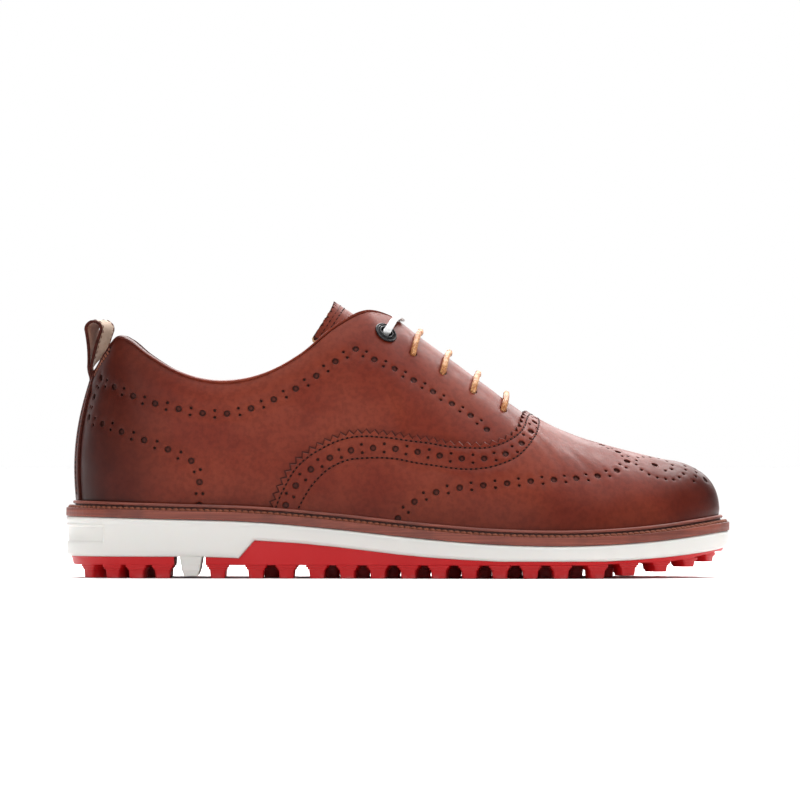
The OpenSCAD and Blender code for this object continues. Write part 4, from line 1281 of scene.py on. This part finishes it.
def make_outsoles():
    """Heel pad and forefoot sole, each a plate with its lugs."""
    front, rear = f_at(HEEL_PAD_FRONT), f_at(FOREFOOT_REAR)
    heel = [plate(np.concatenate([FULL[FULL < front - 0.04], [front]]), 1.9)]
    for x in (-137.9, -127.3, -116.8, -105):
        heel += edge_lugs(x)
    for x in (-132, -121, -110):
        heel += inner_lugs(x, 2)
    fore = [plate(np.concatenate([[rear], FULL[FULL > rear + 0.04]]), 2.1)] + edge_lugs(-80.3)
    for x in [LUG_START + LUG_PITCH * k for k in range(11)] + [89, 102.8, 117.4]:
        fore += edge_lugs(x)
    fore += edge_lugs(130.6, 3.6, 8.0) + edge_lugs(140.4, 3.2, 6.0)
    for ks, count in ((range(0, 11, 2), 2), (range(3, 12, 2), 3)):
        for k in ks:
            fore += inner_lugs(LUG_START + LUG_PITCH * (k + 0.5), count)
    for name, parts in (("outsole_heel", heel), ("outsole_forefoot", fore)):
        make(name + "_rubber", joined(parts), "outsole_rubber", [RED], replaces=[name], sharp=32)


PANEL_END = -129.6


def make_midsole():
    """Foam wall with a rounded lip, a plain recessed panel round the heel and a bulge below it."""
    def heel(back, front):
        return lambda f, x: front + (back - front) * (1 - ramp(x, PANEL_END, PANEL_END + 0.6))
    rings = [(2.6, between(0)), (3.5, between(0, 0.2)), (4.1, between(0, 0.6)),
             (heel(4.5, 4.5), between(0, 1.2)), (heel(4.75, 4.62), between(0.16)),
             (heel(4.8, 4.65), between(0.3)), (heel(4.6, 4.65), between(0.355)),
             (heel(4.1, 4.65), between(0.38)), (heel(3.9, 4.65), between(0.4)),
             (heel(3.9, 4.64), between(0.73)), (heel(4.0, 4.64), between(0.745)),
             (heel(4.62, 4.64), between(0.77)), (heel(4.72, 4.64), between(0.8)),
             (heel(4.4, 4.66), between(0.835)), (heel(4.7, 4.72), between(0.86)),
             (4.82, between(1, -1.9)), (4.86, between(1, -1.1)), (4.75, between(1, -0.55)),
             (4.4, between(1, -0.15)), (4.0, between(1))]
    parts = [slab(FULL, rings)]
    for s in (1, -1):
        u = s * f_at(-92.4)
        p = ring(u)[0][:2] - outward(u) * 2.8
        sections = [(0.9, 2.9, 4.6), (1.25, 3.2, 5.0), (3.4, 3.9, 5.35), (3.5, 4.15, 5.5), (6.0, 4.3, 5.6),
                    (6.1, 4.6, 5.8), (8.3, 4.7, 5.9), (8.4, 4.95, 6.0), (11.0, 5.0, 6.0)]
        parts.append(block(p[0], p[1], 0, sections))
    make("midsole_foam", joined(parts), "midsole_foam", [FOAM], replaces=["midsole"], sharp=38)


WELT_LIP = [(4.7, 0), (4.97, 0.12), (5, 1.2), (5, 3.5), (4.88, 3.75), (4.4, 3.85), (4.1, 3.5), (3.3, 3.2),
            (2.5, 3.5), (1.6, 4.5), (0.9, 4.9), (0.9, 5.35), (1.75, 5.6), (1.95, 6.1), (1.75, 6.7),
            (1.2, 6.95)]
WELT_CREASE = range(6, 12)    # the rows of the lip that lie in the shade of its channel


def upper_at(us, x, height):
    """The upper's outer face at a height over the sole's top, found by steps along t."""
    t = height / 95
    p = last(us, t, 0.0)
    for _ in range(6):
        t = np.clip(t + (height + 0.1 - 0.2 - (p[:, 2] - curve(SOLE_TOP, x) - 0.2)) / 95, 0, 0.6)
        p = last(us, t, 0.0)
    return p


def make_welt():
    """Leather strip round the whole shoe: edge, stitch ledge, and lip against the upper."""
    us = np.concatenate([FULL, TURN - FULL[-2:0:-1]])
    value, n = ring(us)[0], outward(us)
    base = curve(SOLE_TOP, value[:, 0]) + 0.1
    sections = []
    for r, h in WELT_LIP:
        wave = 0.05 * np.sin(us * 31 + h) + 0.04 * np.sin(us * 57)
        sections.append(beyond(value, n, r + wave, base + h))
    for h in (6.9, 3.4, 0.0):
        sections.append(beyond(upper_at(us, value[:, 0], h), n, 0.15, base + h))
    strip = facing_out(tube(np.stack(sections, 1), closed=True))
    shade = np.tile([0.75 if k in WELT_CREASE else 0.0 for k in range(len(sections))], len(us))
    make("welt_strip", strip, "welt_leather", [WELT], replaces=["welt"], shade=shade, sharp=50)


def make_welt_stitching():
    """Slanted stitches round the welt's ledge."""
    fine = np.linspace(0, TURN, 6000, endpoint=False)
    value, n = ring(fine)[0], outward(fine)
    rail = beyond(value, n, 3.15, curve(SOLE_TOP, value[:, 0]) + 0.1 + 4.05)
    s = travelled(rail)
    at = np.linspace(0, s[-1], 240, endpoint=False)
    side = sampled(at, s, n)
    along = np.stack([-side[:, 1], side[:, 0], 0 * at], -1)
    up = unit(np.stack([side[:, 0] * 0.45, side[:, 1] * 0.45, 0 * at + 0.9], -1))
    stitches = capsules(sampled(at, s, rail), along, up, 3.1, 0.9, rise=0.1, dip=0.6, sides=8, turn=-22)
    make("welt_stitching", stitches, "welt_thread", [WELT_THREAD], replaces=["welt_stitches"])


FOOTBED_TOP = 9.35


def make_footbed():
    """Moulded insole: cupped rim, heel hollow, leather cover turned over the edge."""
    half = np.concatenate([np.linspace(0, 1, 12)[:-1], np.linspace(1, 12, 90)[:-1],
                           np.linspace(12, TOE, 12)])
    wall = [(-7.6, sole_top(5.35)), (-7.1, sole_top(5.7)), (-7.0, sole_top(7.4)), (-7.2, sole_top(8.6)),
            (-7.6, sole_top(9.2)), (-8.2, sole_top(FOOTBED_TOP))]
    points, faces = slab(half, wall)
    m = len(points) // len(wall)
    rim_start = m * (len(wall) - 1)
    faces = [f for f in faces if min(f) < rim_start]
    rim = points[rim_start:]
    spine = np.stack([np.clip(rim[:, 0], -118, 120), np.full(m, RIDGE_Y), rim[:, 2]], -1)
    bodies = [points]
    for k, drop in ((0.12, 0.25), (0.3, 0.6), (0.55, 0.95), (0.8, 1.05), (0.985, 1.1)):
        p = rim + (spine - rim) * k
        p[:, 2] = curve(SOLE_TOP, p[:, 0]) + FOOTBED_TOP - drop * (1 + 0.6 * ramp(-p[:, 0], 70, 120))
        bodies.append(p)
    faces += [f[::-1] for f in grid_faces(len(bodies), m, close_m=True, start=rim_start)]
    inmost = rim_start + m * (len(bodies) - 1)
    for i in range(len(half) - 1):
        opposite = [inmost + (m - i - 1) % m, inmost + (m - i) % m]
        faces.append(list(dict.fromkeys([inmost + i, inmost + i + 1, *opposite])))
    points = np.vstack(bodies)
    bed = make("footbed_cushion", (points, faces), "footbed_cover", [FOOTBED], body="footbed",
               replaces=["footbed"], shade=np.zeros(len(points)), sharp=50)


# ---- Tongue ----
TONGUE_LINE = [(-28.6, 124.2), (-22, 119.8), (-12, 112.8), (0, 104.4), (20, 90.2), (40, 76.2), (54, 66.8),
               (64, 62.4)]
TONGUE_FROM, TONGUE_TO = 64.0, -28.6


def tongue_at(x, w, depth):
    """Point of the tongue at x along it, w from -1 to 1 across it, depth below its face."""
    s = (TONGUE_FROM - x) / (TONGUE_FROM - TONGUE_TO)
    half, radius = 15 + 0.6 * s, 34 - 16.8 * s
    slope = curve(TONGUE_LINE, x + 0.5) - curve(TONGUE_LINE, x - 0.5)
    n = np.stack([-slope, np.ones_like(slope)], -1) / np.sqrt(slope**2 + 1)[..., None]
    across = w * half
    drop = radius - np.sqrt(radius**2 - across**2) + depth + 8 * ramp(s, 0.8, 1) * np.abs(w) ** 3.5
    return np.stack([x - n[..., 0] * drop, 2.5 + across, curve(TONGUE_LINE, x) - n[..., 1] * drop], -1)


def tongue_layer(name, outer, inner, materials, slot, node):
    """One layer of the tongue between two depths, with a pinked free end."""
    xs = TONGUE_TO + (TONGUE_FROM - TONGUE_TO) * np.linspace(0, 1, 76) ** 1.25
    x, w = np.meshgrid(xs, np.linspace(-1, 1, 65), indexing="ij")
    teeth = np.array([1.9, 0.95, 0.0, 0.95])[np.arange(65) % 4]
    x = x + teeth[None, :] * (1 - ramp(x, TONGUE_TO, TONGUE_TO + 3.2))
    a, b = tongue_at(x, w, outer(x, w)), tongue_at(x, w, inner(x, w))
    n, m = x.shape
    quads = grid_faces(n, m)
    faces = quads + [[i + n * m for i in f[::-1]] for f in quads]
    rim = ([i for i in range(m)] + [i * m + m - 1 for i in range(1, n)]
           + [(n - 1) * m + j for j in range(m - 2, -1, -1)] + [i * m for i in range(n - 2, 0, -1)])
    faces += [[p, p + n * m, q + n * m, q] for p, q in zip(rim, rim[1:] + rim[:1])]
    points = np.vstack([a.reshape(-1, 3), b.reshape(-1, 3)])
    slots = [0] * len(quads) + [1] * (len(faces) - len(quads))
    return make(name, facing_out((points, faces)), slot, materials, body="tongue", replaces=[node],
                face_slots=slots, shade=np.zeros(len(points)))


def make_tongue():
    """Padded tongue, its suede lining, and stitches along its end and sides."""
    face = lambda x, w: (0.9 * np.abs(w) ** 8 + 0.18 * np.exp(-((np.abs(w) - 0.8) / 0.03) ** 2)
                         + 0.18 * np.exp(-((x - TONGUE_TO - 4.6) / 0.6) ** 2))
    back = lambda x, w: 3.0 - 0.5 * np.abs(w) ** 8
    pad = tongue_layer("tongue_leather", face, back, [CALF, CALF_EDGE], "tongue_leather", "tongue")
    inner = lambda x, w: 3.8 - 0.4 * np.abs(w) ** 8
    tongue_layer("tongue_suede", lambda x, w: back(x, w) + 0.05, inner, [LINING, LINING], "lining_leather",
                 "tongue_lining")
    rows = []
    for offset in (3.0, 4.7):
        w = np.sin(np.linspace(-1.3, 1.3, 21))
        rows.append(np.stack([np.full(21, TONGUE_TO + offset), w], -1))
    for side in (-0.8, 0.8):
        x = np.arange(TONGUE_TO + 7.5, 30, 2.3)
        rows.append(np.stack([x, np.full(len(x), side)], -1))
    seams = []
    for row in rows:
        fine = sampled(np.linspace(0, len(row) - 1, 2 * len(row)), range(len(row)), row)
        p, q = (tongue_at(fine[:, 0], fine[:, 1], depth + 0 * fine[:, 0]) for depth in (0.2, 1.2))
        n, along = unit(p - q), unit(np.gradient(p, axis=0))
        # Threads, and near-black sunk blobs at the needle holes as painted shade.
        seams.append((capsules(p[1::2], along[1::2], n[1::2], 1.75, 0.25, rise=0.1, dip=0.3),
                      capsules(p[::2], along[::2], n[::2], 1.3, 0.5, rise=-0.15, dip=0.2)))
    make_seams("tongue_stitching", seams, slot="tongue_leather", body="tongue")


# ---- Eyelets and laces ----
def off(u, t, h):
    """Point above the quarter's face."""
    side = LATERAL if u % TURN <= TOE else MEDIAL
    n = tangents([fold(u)], [t], side)[2][0]
    return last(u, t, QUARTER_OUT) + h * n


EYELET_RINGS = [(2.5, -4.3), (3.0, -4.3), (3.0, -0.1), (4.95, -0.1), (5.25, 0.1), (5.35, 0.4), (5.25, 0.75),
                (4.95, 0.95), (4.7, 0.85), (4.55, 0.62), (4.4, 0.85), (4.1, 1.02), (3.85, 0.85), (3.7, 0.6),
                (3.55, 0.85), (3.3, 1.15), (2.95, 1.2), (2.65, 1.0), (2.5, 0.6)]


def make_eyelets():
    """Black eyelets with concentric ridges round the bore."""
    parts = []
    a = np.arange(64) * 2 * np.pi / 64
    for side in SIDES:
        u = around(EYELET_AT[0], side)
        centre = last(u, EYELET_AT[1], QUARTER_OUT)
        df, _, n = (rows[0] for rows in tangents([EYELET_AT[0]], [EYELET_AT[1]], side))
        e1 = unit(df)
        circle = np.cos(a)[:, None] * e1 + np.sin(a)[:, None] * np.cross(n, e1)
        rings = np.stack([centre + circle * r + n * h for r, h in EYELET_RINGS], 1)
        parts.append(facing_out(tube(rings, closed=True)))
    make("black_eyelets", joined(parts), "eyelet_metal", [ENAMEL], replaces=["eyelets"], sharp=60)


LACE_OUT = LACE_R + 0.35
LACE_IN = -4.8
LEAN = 0.34


def bar(k, s):
    """One straight bar across the slot: up through one side's hole and down through the other's."""
    u, h = hole_f(k), LACE_OUT

    def crossing(f):
        a, b = off(s * (u + LEAN), FACING_TOP, h), off(-s * (u + LEAN), FACING_TOP, h)
        return a + (b - a) * f + np.array([0, 0, 0.8 * math.sin(math.pi * f)])

    def leg(s):
        return [off(s * u, HOLE_T, LACE_IN + 0.9), off(s * u, HOLE_T, -2), off(s * u, HOLE_T, 0.2),
                off(s * (u + LEAN * 0.12), HOLE_T + 0.035, h), off(s * (u + LEAN * 0.4), 0.83, h + 0.2),
                off(s * (u + LEAN * 0.75), 0.92, h + 0.1)]
    return leg(s) + [crossing(f) for f in (0, 0.33, 0.67, 1)] + leg(-s)[::-1]


def behind(k, s):
    """The lace's run behind the facing from hole k to the next."""
    a, b = hole_f(k), hole_f(k + 1)
    return [off(s * (a + f * (b - a)), HOLE_T, LACE_IN) for f in (0.2, 0.5, 0.8)]


def make_round_lace():
    route = (bar(0, 1) + behind(0, -1) + bar(1, -1) + behind(1, 1) + bar(2, 1) + behind(2, -1) + bar(3, -1))
    line = through(route, 900)
    swell = 1 + 0.035 * np.sin(np.arange(900) * 1.1)
    lace = pipe(line, LACE_R * swell * 0.985, 14)
    make("waxed_round_lace", lace, "round_lace", [CORD], replaces=["lace"], sharp=80)


def make_flat_lace():
    """Flat lace through the two top eyelets, over the tongue."""
    half = [(0, -4.4), (0, -2), (0, 0.4), (0, 1.5), (0.12, 2.5), (0.4, 2.6), (0.75, 1.8), (1, 0.7)]

    def at(s, f, h):
        lean = 0.42 if s > 0 else 0.32
        return off(s * (EYELET_AT[0] + lean * f), EYELET_AT[1] + (FACING_TOP - EYELET_AT[1]) * f, h)
    line = through([at(1, f, h) for f, h in half] + [at(-1, f, h) for f, h in half[::-1]], 160)
    d = unit(np.gradient(line, axis=0))
    aim = last(EYELET_AT[0] + 0.1, EYELET_AT[1]) - last(EYELET_AT[0] - 0.1, EYELET_AT[1])
    aim[1] = 0
    wide = unit(aim - d * (d @ aim)[:, None])
    thick = np.cross(d, wide)
    face = [(-1.75, 0), (-1.6, 0.34), (-1.2, 0.45), (-0.4, 0.38), (0.4, 0.38), (1.2, 0.45), (1.6, 0.34)]
    across = face + [(-a, -b) for a, b in face]
    lace = facing_out(tube(np.stack([line + wide * a + thick * b for a, b in across], 1)))
    make("flat_top_lace", lace, "flat_lace", [WHITE_LACE], replaces=["top_lace"], sharp=60)


# ---- CAD solids that keep their shape ----
def finish_hidden():
    looks = {
        "insole_board": BOARD, "bottom_filler": CORK, "shank": STEEL, "heel_counter": STIFFENER,
        "toe_puff": STIFFENER, "facing_backings": TAPE, "eyelet_washers": WASHER_METAL,
    }
    for name, material in looks.items():
        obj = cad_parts[name]
        obj.data.materials.clear()
        obj.data.materials.append(material)


# ---- Stage ----
def make_stage():
    mesh = bpy.data.meshes.new("floor")
    mesh.from_pydata([(-8, -8, 0), (8, -8, 0), (8, 8, 0), (-8, 8, 0)], [], [(0, 1, 2, 3)])
    mesh.materials.append(pale_floor())
    floor = linked("floor", mesh)


def area_light(name, at, aim, size, power):
    data = bpy.data.lights.new(name, "AREA")
    data.shape = "RECTANGLE"
    data.size, data.size_y = size
    data.energy = power
    light = linked(name, data)
    light.location = at
    light.rotation_euler = (Vector(aim) - Vector(at)).to_track_quat("-Z", "Y").to_euler()


def sun_light(name, aim, strength, angle):
    data = bpy.data.lights.new(name, "SUN")
    data.energy, data.angle = strength, math.radians(angle)
    linked(name, data).rotation_euler = Vector(aim).to_track_quat("-Z", "Y").to_euler()


def make_world():
    """White studio: bright walls near the horizon, dimmer overhead and beyond the shoe's ends."""
    world = bpy.data.worlds.new("world")
    world.use_nodes = True
    studio = Nodes(world.node_tree)
    way = studio.axes(studio.add("TexCoord").outputs["Generated"])
    height, along = (studio.maths("ABSOLUTE", way[axis]) for axis in "ZX")
    strength = studio.maths("MULTIPLY", studio.levels(height, 0.125, 0.22, 1.0, 0.26),
                            studio.levels(along, 0.45, 0.9, 1.0, 0.75))
    background = studio.tree.nodes["Background"].inputs
    studio.feed(background["Color"], (1, 1, 1))
    studio.feed(background["Strength"], strength)
    bpy.context.scene.world = world


def make_light():
    make_world()
    bpy.context.scene.view_settings.view_transform = "Standard"
    sun_light("soft_top", (-0.12, 0.1, -1), 3.1, 70)
    area_light("front", (-0.3, -1.1, 0.5), (0, 0, 0.05), (0.9, 0.4), 2.5)
    area_light("strip", (0.15, 0.6, 0.95), (0.05, 0, 0.06), (1.3, 0.25), 18)
    area_light("rim", (-0.9, 0.55, 0.4), (-0.12, 0, 0.06), (0.3, 0.6), 0.5)
    area_light("back", (0.1, 1.3, 0.75), (0.08, 0, 0.05), (1.7, 0.7), 16)


# ---- Making ----
make_vamp()
make_quarters()
make_upper_stitching()
make_backstay()
make_collar_roll()
make_loop()
make_loop_tail()
make_linings()
make_collar_foam()
make_outsoles()
make_midsole()
make_welt()
make_welt_stitching()
make_footbed()
make_tongue()
make_eyelets()
make_round_lace()
make_flat_lace()
finish_hidden()
make_stage()
make_light()
